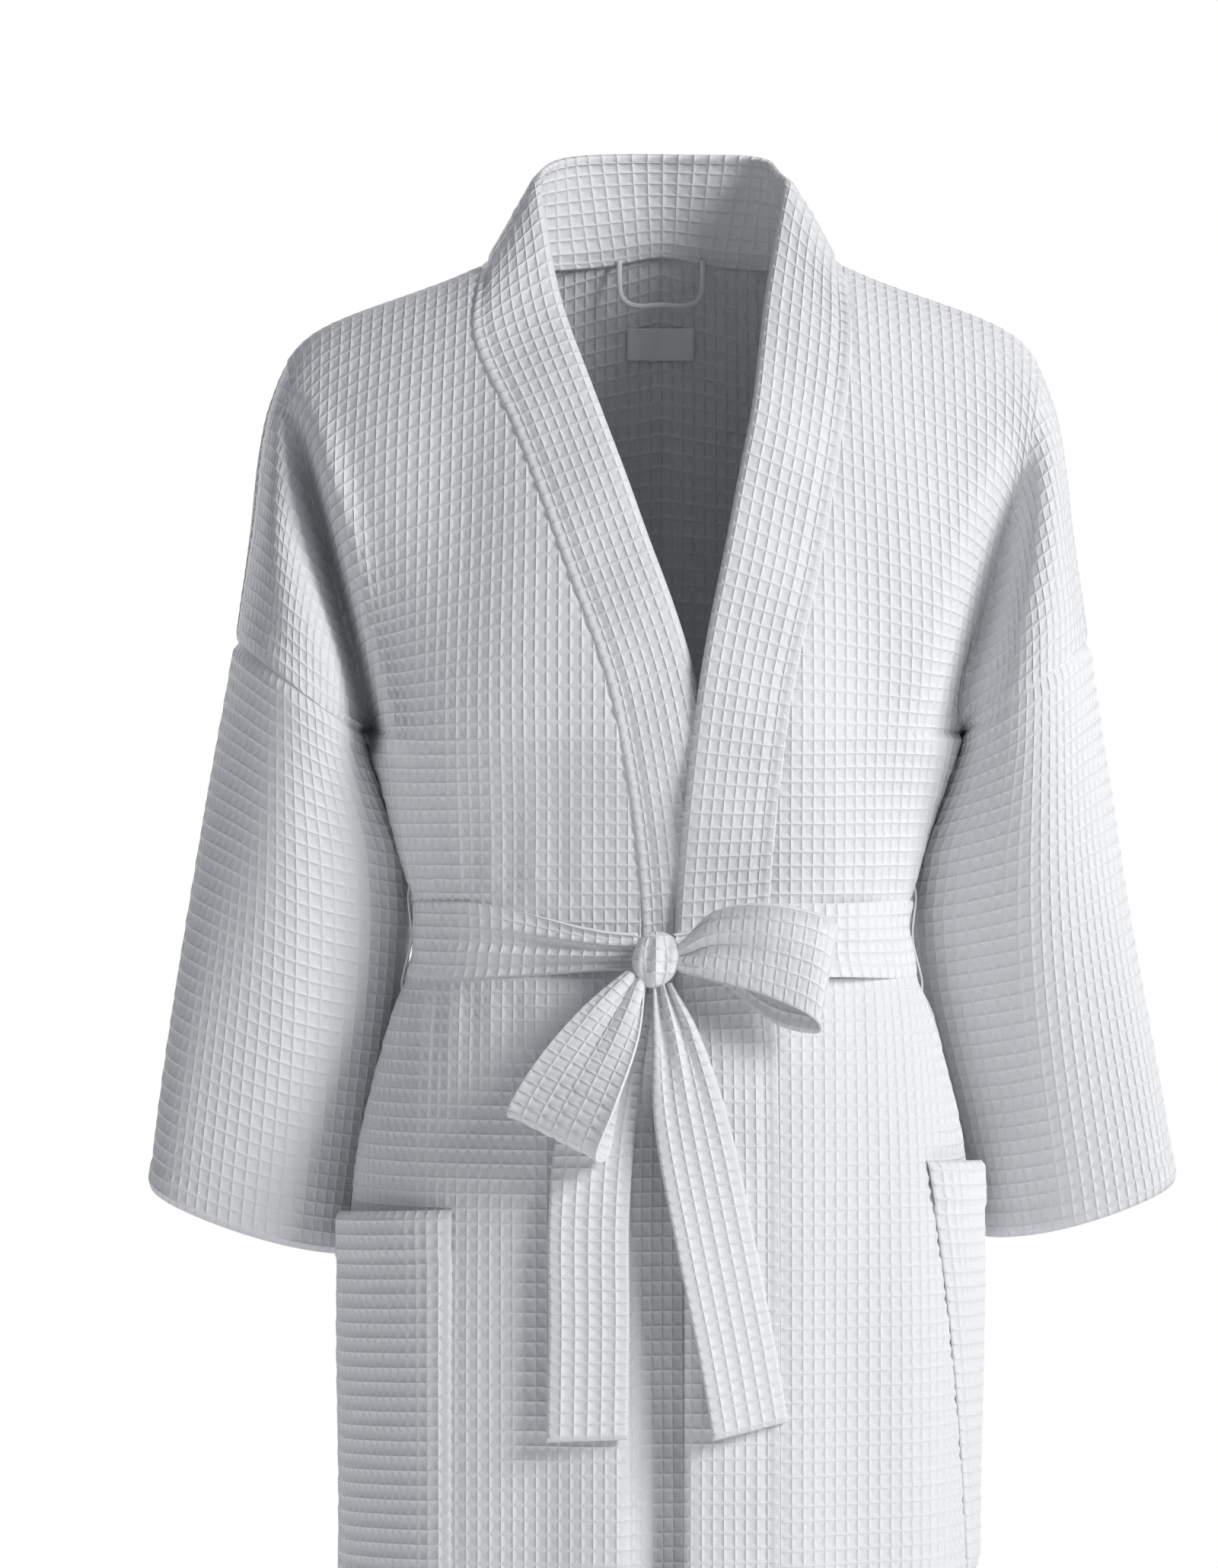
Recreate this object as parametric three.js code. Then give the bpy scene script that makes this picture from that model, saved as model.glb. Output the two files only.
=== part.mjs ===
// A waffle-cloth bathrobe, tied at the waist, as it hangs on a wearer's shoulders.
// +X is the wearer's left, -Y the front, +Z up; the origin lies between the shoulders. Millimetres.
import * as THREE from "three";

// Cloth
const cloth = 3; // one layer of waffle cloth
const doubled = 5; // bands, where the cloth is folded on itself
const seamGap = 0.6; // between two pieces that are sewn edge to edge
const layGap = 0.8; // between two pieces that lie on each other

// Length and girth: each level is a height with the half width and the depths in front and behind
const hemLevel = -1120;
const hipLevel = -570;
const beltLevel = -417;
const underarmLevel = -284;
const girth = [
  { z: hemLevel, half: 212, front: 132, back: 138 },
  { z: -830, half: 205, front: 127, back: 133 },
  { z: hipLevel, half: 200, front: 119, back: 126 },
  { z: -478, half: 180, front: 101, back: 102 },
  { z: beltLevel, half: 160, front: 92, back: 90 },
  { z: -356, half: 173, front: 98, back: 94 },
  { z: underarmLevel, half: 196, front: 115, back: 110 },
];
const squareness = 2.3; // exponent of the body's rounded section

// Shoulders: the line on which the fronts meet the back
const shoulderY = 0;
const collarPoint = { x: 117, z: 24 };
const shoulderTip = { x: 243, z: -32 };
const nape = { z: 70, cut: 0.81 }; // the line's height at the neck's centre, and the share of the back kept there
const fullness = { front: 2.2, back: 3.6 }; // how square the chest and the upper back are
const torsoEdge = 1.15; // how early the torso narrows below the shoulder tip
const rowCrowding = 1.6; // how much closer the rows come together towards the shoulder line

// Armhole: an oval ring across the upper arm, where the sleeve is sewn on
const armhole = { x: 240, z: -251, alongX: 40, alongZ: 30, depth: 88 };
const armFold = { out: 12, sink: 0.36, spread: 10, drop: 34 }; // the arm's front, and the fold between it and the chest

// Side seams leave the armhole and run backwards on their way down to the hip
const seamDrift = 82;

// Sleeves: the middle, and the oval at the hem with its centre and its two half axes
const sleeveMiddle = [250, 16, -412];
const sleeveHems = {
  left: { centre: [278, 36, -596], outward: [61, -33, 18], backward: [10, 40, 12] },
  right: { centre: [270, 36, -604], outward: [67, -33, 20], backward: [14, 40, 14] },
};

// Front bands: stations from the hem up, each with the seam and the free edge, as width and height
const topBand = [
  { seam: [72, hemLevel], edge: [14, hemLevel] },
  { seam: [72, -830], edge: [13, -830] },
  { seam: [71, -490], edge: [13, -490] },
  { seam: [65, -412], edge: [7, -418] },
  { seam: [79, -266], edge: [22, -256] },
  { seam: [99, -172], edge: [42, -150] },
  { seam: [113, -92], edge: [58, -68] },
];
const underBand = [
  { seam: [25, hemLevel], edge: [-30, hemLevel] },
  { seam: [25, -830], edge: [-30, -830] },
  { seam: [24, -490], edge: [-31, -490] },
  { seam: [11, -412], edge: [-43, -404] },
  { seam: [30, -264], edge: [-22, -250] },
  { seam: [64, -164], edge: [13, -145] },
  { seam: [94, -84], edge: [42, -66] },
];
// The band's free edge round the neck: at the collarbone, the side, behind the ear and the nape
const collarbone = { seam: [121, -22], edge: [67, -46, 6] };
const neckEdge = [
  [81, 0, 71],
  [67, 42, 92],
  [0, 60, 100],
];
const topLift = 8.2; // the upper front lies this far outside the lower one
const liftWidths = [80, 150]; // the lift is whole up to the first width, and gone at the second
const liftHeights = [-250, -70]; // and it fades out between these heights

// Pockets, placed by their distance round the body from the front centre
const pocketHeight = 272;
const pocketMouth = 8; // how far the middle of the mouth stands off the front
const pockets = {
  left: { round: 196, wide: 140, top: -560, lean: 0.22, fall: 0.06 },
  right: { round: 137, wide: 150, top: -590, lean: 0, fall: 0.06 },
};
const facingHeight = 31;

// Belt
const beltWidth = 52;
const beltCloth = 3;
const knot = { x: -5, z: -428, radius: 17 };
const beltBump = [-90, -24, 100, 160]; // the belt rides over the two bands between these widths
const beltGather = { left: 120, right: 60, end: 22 }; // the length over which it narrows, and its width at the knot
const carrier = { width: 9, cloth: 1.6, beyond: 9 };

// Hang loop and label inside the back neck
const hangLoop = { half: 30, drop: 32, strip: 4, deep: 2.6 };
const label = { wide: 46, tall: 22, cloth: 0.8, top: -6 };

const mix = (a, b, t) => a + (b - a) * t;
const clamp01 = (t) => Math.min(1, Math.max(0, t));
const ease = (t) => clamp01(t) ** 2 * (3 - 2 * clamp01(t));
const vec = (x, y, z) => new THREE.Vector3(x, y, z);

// Smooth interpolation of one value down a table of stations.
function along(table, at, key, value) {
  let i = table.findIndex((row) => key(row) > at) - 1;
  if (i < -1) i = table.length - 2;
  i = Math.min(table.length - 2, Math.max(0, i));
  const [a, b] = [table[i], table[i + 1]];
  const before = table[Math.max(0, i - 1)];
  const after = table[Math.min(table.length - 1, i + 2)];
  const span = key(b) - key(a);
  const t = (at - key(a)) / span;
  const slope = (p, q) => ((value(q) - value(p)) / (key(q) - key(p))) * span;
  const m0 = before === a ? slope(a, b) : slope(before, b);
  const m1 = after === b ? slope(a, b) : slope(a, after);
  const [t2, t3] = [t * t, t * t * t];
  return (
    value(a) * (2 * t3 - 3 * t2 + 1) +
    m0 * (t3 - 2 * t2 + t) +
    value(b) * (3 * t2 - 2 * t3) +
    m1 * (t3 - t2)
  );
}

const girthAt = (z, part) => along(girth, z, (row) => row.z, (row) => row[part]);

// A point of the body's section at one height; turn is 1 at the centre and 0 at the side.
function sectionPoint(face, z, turn) {
  const angle = (turn * Math.PI) / 2;
  const power = 2 / squareness;
  const deep = girthAt(z, face < 0 ? "front" : "back");
  return vec(girthAt(z, "half") * Math.cos(angle) ** power, face * deep * Math.sin(angle) ** power, z);
}

// The armhole ring on the wearer's left; share runs from the underarm (0) to the top (1).
function ringPoint(face, share) {
  const angle = Math.PI * share;
  return vec(
    armhole.x - armhole.alongX * Math.cos(angle),
    face * armhole.depth * Math.sin(angle),
    armhole.z - armhole.alongZ * Math.cos(angle),
  );
}

const guideTurns = [1, 0.82, 0.63, 0.44, 0.24, 0.12, 0];
const shoulderLine = [
  vec(0, shoulderY, nape.z),
  vec(collarPoint.x * 0.55, shoulderY, mix(nape.z, collarPoint.z, 0.45)),
  vec(collarPoint.x + 18, shoulderY, collarPoint.z - 6),
  vec(shoulderTip.x - 12, shoulderY, shoulderTip.z + 6),
];

// One row of the cloth, from the centre of the front or the back out to the side or the armhole.
// Rows run from the hem (0) to the underarm (1), and from there to the shoulder line (2).
function makeRow(face, height) {
  if (height <= 1) {
    const z = mix(hemLevel, underarmLevel, height);
    return new THREE.CatmullRomCurve3(guideTurns.map((turn) => sectionPoint(face, z, turn)), false, "centripetal");
  }
  const share = height - 1;
  const t = 1 - (1 - share) ** rowCrowding;
  const square = face < 0 ? fullness.front : fullness.back;
  const depth = (1 - t ** square) ** (1 / square);
  const under = guideTurns.map((turn) => sectionPoint(face, underarmLevel, turn));
  const points = shoulderLine.map((top, i) =>
    vec(
      mix(under[i].x, top.x, t ** torsoEdge),
      top.y + (under[i].y - top.y) * depth,
      mix(underarmLevel, top.z, t),
    ),
  );
  const ring = ringPoint(face, share);
  const swell = Math.sin(Math.PI * t);
  const valley = vec(
    mix(under[4].x, shoulderTip.x + armFold.spread, t ** torsoEdge),
    ((points[3].y + ring.y) / 2) * (1 - armFold.sink * swell),
    mix(underarmLevel, shoulderTip.z - armFold.drop, t),
  );
  const front = ring.clone().lerp(valley, 0.45).add(vec(4 * swell, face * armFold.out * swell, 0));
  return new THREE.CatmullRomCurve3([...points, valley, front, ring], false, "centripetal");
}

const rows = new Map();
function rowOf(face, height) {
  const key = face + "/" + height.toFixed(5);
  if (!rows.has(key)) {
    const curve = makeRow(face, height);
    curve.arcLengthDivisions = 120;
    rows.set(key, { curve, length: curve.getLength() });
  }
  return rows.get(key);
}

// A point at a distance round the body from the centre; past the side it goes on over the other face.
function bodyPoint(face, height, round) {
  const row = rowOf(face, height);
  if (height > 1 || round <= row.length) return row.curve.getPointAt(clamp01(round / row.length));
  const other = rowOf(-face, height);
  return other.curve.getPointAt(clamp01(1 - (round - row.length) / other.length));
}

function bodyNormal(face, height, round) {
  const step = 2;
  const last = height > 1 ? rowOf(face, height).length : Infinity;
  const low = Math.max(0, height - 0.004);
  const high = Math.min(2, height + 0.004);
  const far = bodyPoint(face, height, Math.min(last, round + step));
  const across = far.sub(bodyPoint(face, height, Math.max(0, round - step)));
  const up = bodyPoint(face, high, round).sub(bodyPoint(face, low, round));
  return across.cross(up).multiplyScalar(-face).normalize();
}

const heightAt = (z) => (z - hemLevel) / (underarmLevel - hemLevel);
const driftAt = (height) => (height > 1 ? 0 : seamDrift * ease((1 - height) / (1 - heightAt(hipLevel))));

const roundWhere = (row, isShort) => {
  let [low, high] = [0, 1];
  for (let i = 0; i < 26; i++) {
    const middle = (low + high) / 2;
    if (isShort(row.curve.getPointAt(middle))) low = middle;
    else high = middle;
  }
  return low * row.length;
};
const roundOfX = (face, height, x) => roundWhere(rowOf(face, height), (point) => point.x < x);

// Where a width and a height lie on the cloth of the wearer's left.
function placeAt(face, x, z) {
  let [low, high] = [0, 2];
  for (let i = 0; i < 24; i++) {
    const middle = (low + high) / 2;
    if (bodyPoint(face, middle, roundOfX(face, middle, x)).z < z) low = middle;
    else high = middle;
  }
  return { height: low, round: roundOfX(face, low, x) };
}
function frontAt(x, z) {
  const { height, round } = placeAt(-1, Math.abs(x), z);
  return bodyPoint(-1, height, round).setX(x);
}

// Distance round the front at which a row meets the seam of its band.
function seamRound(band, height) {
  const stations = [...band, collarbone, { seam: [collarPoint.x, collarPoint.z] }];
  const seamX = (z) => along(stations, z, (s) => s.seam[1], (s) => s.seam[0]);
  if (height >= 2) return roundOfX(-1, height, collarPoint.x);
  return roundWhere(rowOf(-1, height), (point) => point.x < seamX(point.z));
}

// How far the upper front stands out over the lower one.
const liftAt = (x, z) =>
  topLift *
  (1 - ease((x - liftWidths[0]) / (liftWidths[1] - liftWidths[0]))) *
  (1 - ease((z - liftHeights[0]) / (liftHeights[1] - liftHeights[0])));
const raise = (point) => point.setY(point.y - liftAt(point.x, point.z));

const mirrored = (grid) => grid.map((line) => line.map(({ p, n }) => ({
  p: vec(-p.x, p.y, p.z),
  n: n && vec(-n.x, n.y, n.z),
})));
const steps = (count) => Array.from({ length: count + 1 }, (_, i) => i / count);

// Normals of a grid of points, where the grid doesn't bring its own.
function gridNormal(grid, i, j, ring) {
  const line = grid[i];
  const count = line.length;
  const left = ring ? line[(j + count - 1) % count] : line[Math.max(0, j - 1)];
  const right = ring ? line[(j + 1) % count] : line[Math.min(count - 1, j + 1)];
  const low = grid[Math.max(0, i - 1)][j];
  const high = grid[Math.min(grid.length - 1, i + 1)][j];
  return right.p.clone().sub(left.p).cross(high.p.clone().sub(low.p)).normalize();
}

// A closed solid of even thickness round a grid of points; a ring joins its last column to its first.
function sheet(grid, thickness, ring = false) {
  const [rowCount, columnCount] = [grid.length, grid[0].length];
  const positions = [];
  const given = grid.findIndex((line) => line[0].n);
  const turn = given < 0 ? 1 : Math.sign(gridNormal(grid, given, 0, ring).dot(grid[given][0].n));
  for (const side of [0.5, -0.5]) {
    grid.forEach((line, i) =>
      line.forEach(({ p, n }, j) => {
        const normal = n || gridNormal(grid, i, j, ring).multiplyScalar(turn);
        positions.push(...p.clone().addScaledVector(normal, side * thickness));
      }),
    );
  }
  const at = (i, j, side) => side * rowCount * columnCount + i * columnCount + (j % columnCount);
  const index = [];
  const quad = (a, b, c, d) => index.push(a, b, c, a, c, d);
  const lastColumn = ring ? columnCount : columnCount - 1;
  for (let i = 0; i < rowCount - 1; i++) {
    for (let j = 0; j < lastColumn; j++) {
      quad(at(i, j, 0), at(i, j + 1, 0), at(i + 1, j + 1, 0), at(i + 1, j, 0));
      quad(at(i, j, 1), at(i + 1, j, 1), at(i + 1, j + 1, 1), at(i, j + 1, 1));
    }
    if (ring) continue;
    quad(at(i, 0, 0), at(i + 1, 0, 0), at(i + 1, 0, 1), at(i, 0, 1));
    quad(at(i, lastColumn, 0), at(i, lastColumn, 1), at(i + 1, lastColumn, 1), at(i + 1, lastColumn, 0));
  }
  for (let j = 0; j < lastColumn; j++) {
    quad(at(0, j, 0), at(0, j, 1), at(0, j + 1, 1), at(0, j + 1, 0));
    const top = rowCount - 1;
    quad(at(top, j, 0), at(top, j + 1, 0), at(top, j + 1, 1), at(top, j, 1));
  }
  const geometry = new THREE.BufferGeometry();
  geometry.setAttribute("position", new THREE.Float32BufferAttribute(positions, 3));
  geometry.setIndex(signedVolume(positions, index) < 0 ? index.reverse() : index);
  geometry.computeVertexNormals();
  return geometry;
}

function signedVolume(positions, index) {
  const corner = (i) => vec(...positions.slice(3 * i, 3 * i + 3));
  let volume = 0;
  for (let i = 0; i < index.length; i += 3) {
    volume += corner(index[i]).dot(corner(index[i + 1]).cross(corner(index[i + 2])));
  }
  return volume / 6;
}

// Heights of the rows: the hem to the underarm, with rows at the belt's edges, and the armhole's points above
const ringPoints = 22;
const beltEdges = [beltLevel - beltWidth / 2, beltLevel, beltLevel + beltWidth / 2];
const carrierEnds = [beltEdges[0] - carrier.beyond, beltEdges[2] + carrier.beyond];
const levels = [hemLevel, -1000, -880, -760, -660, -580, -520, -480, ...beltEdges, ...carrierEnds, -346, -315];
const rowHeights = [
  ...levels.sort((a, b) => a - b).map(heightAt),
  ...steps(ringPoints / 2).map((share) => 1 + share),
];

// Turns the last edge of a row into the armhole's plane, and the shoulder edge upright.
const armholeAxis = vec(armhole.alongZ, 0, -armhole.alongX).normalize();
function squareEdge(normal, height, isEnd) {
  if (isEnd && height >= 1) normal.addScaledVector(armholeAxis, -normal.dot(armholeAxis));
  if (height === 2) normal.y = 0;
  return normal.normalize();
}

function frontPanel(band, lifted) {
  return rowHeights.map((height) => {
    const start = seamRound(band, height) + seamGap / 2;
    const end = rowOf(-1, height).length + driftAt(height) - (height > 1 ? 0 : seamGap / 2);
    return steps(12).map((share) => {
      const round = mix(start, end, share);
      const p = bodyPoint(-1, height, round);
      if (lifted) raise(p);
      if (height === 2) p.y -= seamGap / 2;
      return { p, n: squareEdge(bodyNormal(-1, height, round), height, share === 1) };
    });
  });
}

// The back's rows end at the shoulder line, or lower, at the neckline, near the centre.
const neckShare = roundOfX(1, 2, collarPoint.x) / rowOf(1, 2).length;
const backShares = [...steps(5).map((t) => t * neckShare), ...steps(7).slice(1).map((t) => mix(neckShare, 1, t))];

// Place of one column of the back on a row, lowered under the neckline.
function backPlace(height, share) {
  const across = Math.min(1, share / neckShare);
  const cut = height <= 1 ? height : 1 + (height - 1) * mix(nape.cut, 1, across ** 2.4);
  const end = rowOf(1, cut).length - driftAt(cut) - (height > 1 ? 0 : seamGap / 2);
  const p = bodyPoint(1, cut, end * share);
  if (cut === 2) p.y += seamGap / 2;
  return { p, n: squareEdge(bodyNormal(1, cut, Math.max(end * share, 0.01)), cut, share === 1) };
}

function wholeBack() {
  const half = rowHeights.map((height) => backShares.map((share) => backPlace(height, share)));
  const other = mirrored(half);
  return half.map((line, i) => [...other[i].slice(1).reverse(), ...line]);
}

// A band's cross lines, each from the seam to the free edge, with a slight roll between them.
function crossLine(seam, edge, normal, roll) {
  const middle = seam.clone().lerp(edge, 0.5).add(roll);
  const inwards = edge.clone().sub(seam);
  const upright = normal.y === 0 ? vec(inwards.z, 0, -inwards.x).normalize() : undefined;
  inwards.addScaledVector(normal, -inwards.dot(normal)).normalize();
  const start = seam.clone().addScaledVector(inwards, seamGap);
  return [{ p: start, n: normal }, { p: middle, n: upright }, { p: edge, n: upright }];
}

// The free edge opposite a point of the seam: on the cloth up to the last station, and free in the air above it.
function bandEdge(band, seamZ) {
  const [before, last] = band.slice(-2);
  if (seamZ <= last.seam[1]) {
    const at = (axis) => along(band, seamZ, (s) => s.seam[1], (s) => s.edge[axis]);
    return frontAt(at(0), at(1));
  }
  const shoulderSeam = bodyPoint(-1, 2, roundOfX(-1, 2, collarPoint.x));
  const edges = [
    ...[before, last].map(({ seam, edge }) => ({ z: seam[1], p: frontAt(...edge) })),
    { z: collarbone.seam[1], p: vec(...collarbone.edge) },
    { z: shoulderSeam.z, p: vec(...neckEdge[0]) },
  ];
  return vec(...["x", "y", "z"].map((axis) => along(edges, seamZ, (e) => e.z, (e) => e.p[axis])));
}

function frontBand(band, lifted) {
  return rowHeights.map((height) => {
    const round = seamRound(band, height);
    const seam = bodyPoint(-1, height, round);
    const edge = bandEdge(band, seam.z);
    if (lifted) [seam, edge].forEach(raise);
    if (height === 2) [seam, edge].forEach((p) => (p.y -= seamGap / 2));
    return crossLine(seam, edge, squareEdge(bodyNormal(-1, height, round), height, false), vec(0, -1, 0));
  });
}

function neckBandHalf() {
  const free = new THREE.CatmullRomCurve3(neckEdge.map((p) => vec(...p)));
  return steps(5).map((share) => {
    const { p, n } = backPlace(2, neckShare * (1 - share));
    const edge = free.getPoint(share);
    if (share === 0) edge.y += seamGap / 2;
    return crossLine(p, edge, n, vec(0, 1, 0));
  });
}

function wholeNeckBand() {
  const half = neckBandHalf();
  return [...half, ...mirrored(half).slice(0, -1).reverse()];
}

// Sleeve: ovals from the armhole to the hem.
function sleeveRings({ centre, outward, backward }) {
  const top = vec(armhole.x, 0, armhole.z).addScaledVector(armholeAxis, seamGap);
  const axis = new THREE.CatmullRomCurve3([top, vec(...sleeveMiddle), vec(...centre)]);
  return steps(8).map((share) => {
    const spread = Math.sin((share * Math.PI) / 2);
    const out = vec(armhole.alongX, 0, armhole.alongZ).lerp(vec(...outward), spread);
    const back = vec(0, armhole.depth, 0).lerp(vec(...backward), spread);
    const middle = axis.getPointAt(share);
    return steps(ringPoints).slice(0, -1).map((turn) => {
      const [cos, sin] = [Math.cos(2 * Math.PI * turn), Math.sin(2 * Math.PI * turn)];
      const p = middle.clone().addScaledVector(out, cos).addScaledVector(back, sin);
      if (share > 0) return { p };
      return { p, n: vec(armhole.alongX, 0, armhole.alongZ).normalize().multiplyScalar(cos).setY(sin).normalize() };
    });
  });
}

// A pocket's patch: it lies on the front along its sides and foot, and stands off at the middle of its mouth.
function pocketPatch({ round, wide, top, lean, fall }, lifted, from, to, extra) {
  return steps(8).map((up) =>
    steps(10).map((side) => {
      const share = mix(from, to, up);
      const drop = pocketHeight * (1 - share) + fall * wide * side;
      const height = heightAt(top - drop);
      const at = round + lean * pocketHeight * (1 - share) * (1 - 0.5 * side) + wide * side;
      const normal = bodyNormal(-1, height, at);
      const gape = pocketMouth * Math.sin(Math.PI * side) ** 0.8 * share ** 1.5;
      const p = bodyPoint(-1, height, at);
      if (lifted) raise(p);
      p.addScaledVector(normal, cloth + layGap + gape + extra);
      return { p, n: normal };
    }),
  );
}

// Belt: a strip from one side of the knot round the back to its other side.
const beltStand = (cloth + beltCloth) / 2 + layGap;
const beltRide = (x) =>
  (topLift + (doubled - cloth) / 2 + layGap) *
  ease((x - beltBump[0]) / (beltBump[1] - beltBump[0])) *
  (1 - ease((x - beltBump[2]) / (beltBump[3] - beltBump[2])));

function beltPoint(share, z) {
  const height = heightAt(z);
  const half = rowOf(-1, height).length + rowOf(1, height).length;
  const flip = share > 0.5 ? -1 : 1;
  const at = 2 * half * Math.min(share, 1 - share);
  const p = bodyPoint(-1, height, at);
  const n = bodyNormal(-1, height, Math.max(at, 0.01));
  const ride = p.y < 0 ? beltRide(flip * p.x) : 0;
  p.addScaledVector(n, beltStand + ride);
  return { p: vec(flip * p.x, p.y, p.z), n: vec(flip * n.x, n.y, n.z) };
}

function beltStrip() {
  const height = heightAt(beltLevel);
  const whole = 2 * (rowOf(-1, height).length + rowOf(1, height).length);
  const clear = knot.radius * 0.66;
  const [first, last] = [knot.x + clear, whole + knot.x - clear];
  return steps(52).map((share) => {
    const round = mix(first, last, share);
    const narrow = Math.max(1 - (round - first) / beltGather.right, 1 - (last - round) / beltGather.left);
    const tall = mix(beltWidth, beltGather.end, ease(narrow));
    const centre = mix(beltLevel, knot.z + 4, ease(narrow));
    return steps(2).map((up) => beltPoint(round / whole, centre + tall * (up - 0.5)));
  });
}

// A ribbon along a smooth path; each station gives a point, the ribbon's width there and its width direction.
function ribbon(stations, count) {
  const path = new THREE.CatmullRomCurve3(stations.map((s) => vec(...s.at)), false, "centripetal");
  const spot = (share) => share * (stations.length - 1);
  return steps(count).map((share) => {
    const i = Math.min(stations.length - 2, Math.floor(spot(share)));
    const t = spot(share) - i;
    const wide = mix(stations[i].wide, stations[i + 1].wide, ease(t));
    const across = vec(...stations[i].across).lerp(vec(...stations[i + 1].across), ease(t)).normalize();
    const centre = path.getPoint(share);
    return [-0.5, 0, 0.5].map((side) => ({ p: centre.clone().addScaledVector(across, side * wide) }));
  });
}

// The knot stands clear in front of the two bands; loops and tails are placed from its centre.
const bandFace = girthAt(knot.z, "front") + topLift + doubled / 2;
const knotY = -(bandFace + layGap / 2 + knot.radius);
const touch = knot.radius + layGap / 4;
const fromKnot = (x, y, z) => [knot.x + x, knotY + y, knot.z + z];

const leftTail = [
  { at: fromKnot(5.5, -3, -touch), wide: 12, across: [1, 0, 0] },
  { at: fromKnot(14, -6, -45), wide: 28, across: [1, 0, 0.1] },
  { at: fromKnot(22, -10, -100), wide: 50, across: [1, -0.1, 0.12] },
  { at: fromKnot(38, -14, -180), wide: beltWidth, across: [1, 0, 0.14] },
  { at: fromKnot(52, -15, -250), wide: beltWidth, across: [1, 0.05, 0.2] },
  { at: fromKnot(61, -16, -301), wide: beltWidth, across: [1, 0.05, 0.22] },
];
const rightTail = [
  { at: fromKnot(-8, 5, -touch), wide: 13, across: [1, 0, 0] },
  { at: fromKnot(-22, 6, -50), wide: 34, across: [1, 0, 0] },
  { at: fromKnot(-38, 2, -110), wide: 50, across: [1, 0, 0] },
  { at: fromKnot(-43, -7, -165), wide: beltWidth, across: [1, 0, 0] },
  { at: fromKnot(-43, -11, -235), wide: beltWidth, across: [1, 0, 0] },
  { at: fromKnot(-44, -12, -308), wide: beltWidth, across: [1, 0, 0.03] },
];
const leftLoop = [
  { at: fromKnot(touch, -5, 3), wide: 15, across: [0, 0, 1] },
  { at: fromKnot(38, -18, 10), wide: 36, across: [0.1, -0.2, 1] },
  { at: fromKnot(80, -24, 8), wide: 52, across: [0.1, -0.2, 1] },
  { at: fromKnot(112, -12, -4), wide: 54, across: [0.14, 0, 1] },
  { at: fromKnot(84, -1, -4), wide: 52, across: [0.1, 0.1, 1] },
  { at: fromKnot(44, 2, 0), wide: 34, across: [0, 0, 1] },
  { at: fromKnot(touch + 0.3, 2, 1), wide: 14, across: [0, 0, 1] },
];
const rightLoop = [
  { at: fromKnot(-13, -7, -12.5), wide: 14, across: [1, 0, -0.6] },
  { at: fromKnot(-30, -20, -45), wide: 38, across: [1, -0.2, -0.55] },
  { at: fromKnot(-50, -27, -84), wide: 54, across: [1, -0.2, -0.5] },
  { at: fromKnot(-66, -18, -118), wide: 56, across: [1, 0, -0.5] },
  { at: fromKnot(-54, -7, -92), wide: 54, across: [1, 0.1, -0.5] },
  { at: fromKnot(-34, -3, -50), wide: 36, across: [1, 0, -0.55] },
  { at: fromKnot(-13, -1, -12.5), wide: 13, across: [1, 0, -0.6] },
];

// A belt carrier: a narrow strip on the side of the body, round the outside of the belt.
function carrierStrip() {
  const seat = (cloth + carrier.cloth) / 2 + layGap / 2;
  const over = beltStand + (beltCloth + carrier.cloth) / 2 + layGap;
  const stations = [
    [carrierEnds[0], seat],
    [beltEdges[0] - 2, over + 0.5],
    [beltEdges[0] + 4, over],
    [beltEdges[1], over],
    [beltEdges[2] - 4, over],
    [beltEdges[2] + 2, over + 0.5],
    [carrierEnds[1], seat],
  ];
  return stations.map(([z, off]) =>
    [-0.5, 0.5].map((side) => ({ p: vec(girthAt(z, "half") + off, side * carrier.width, z) })),
  );
}

// Hang loop: a narrow strip, sewn down at both ends in the neck seam, that droops as a flat-bottomed U.
function hangLoopSolid() {
  const { half, drop, strip, deep } = hangLoop;
  const shape = new THREE.Shape();
  const corner = 7;
  const outline = (inset) => [
    [-half + inset, drop],
    [-half + inset, corner + inset],
    [-half + corner + inset, inset],
    [half - corner - inset, inset],
    [half - inset, corner + inset],
    [half - inset, drop],
  ];
  [...outline(0), ...outline(strip).reverse()].forEach(([x, z], i) => (i ? shape.lineTo(x, z) : shape.moveTo(x, z)));
  const solid = new THREE.ExtrudeGeometry(shape, { depth: deep, bevelEnabled: false });
  const { p, n } = backPlace(2, (neckShare * half) / collarPoint.x);
  const seat = p.addScaledVector(n, -doubled / 2);
  return solid.rotateX(Math.PI / 2).translate(0, seat.y - layGap / 2, seat.z - drop);
}

function labelPatch() {
  return steps(3).map((up) =>
    steps(6).map((side) => {
      const x = label.wide * (side - 0.5);
      const { height, round } = placeAt(1, Math.abs(x), label.top - label.tall * (1 - up));
      const n = bodyNormal(1, height, Math.max(round, 0.01));
      const p = bodyPoint(1, height, round).addScaledVector(n, -((cloth + label.cloth) / 2 + layGap / 2));
      return { p: p.setX(Math.sign(x) * p.x), n: vec(Math.sign(x) * n.x, n.y, n.z) };
    }),
  );
}

const finish = (color, roughness) => () => new THREE.MeshStandardMaterial({ color, roughness, metalness: 0 });
const waffle = finish(0xf1f2f4, 0.92);
const satin = finish(0xe9eaee, 0.6);

const robe = new THREE.Group();
function add(name, geometry, material = waffle) {
  const mesh = new THREE.Mesh(geometry, material());
  mesh.name = name;
  robe.add(mesh);
}

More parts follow.
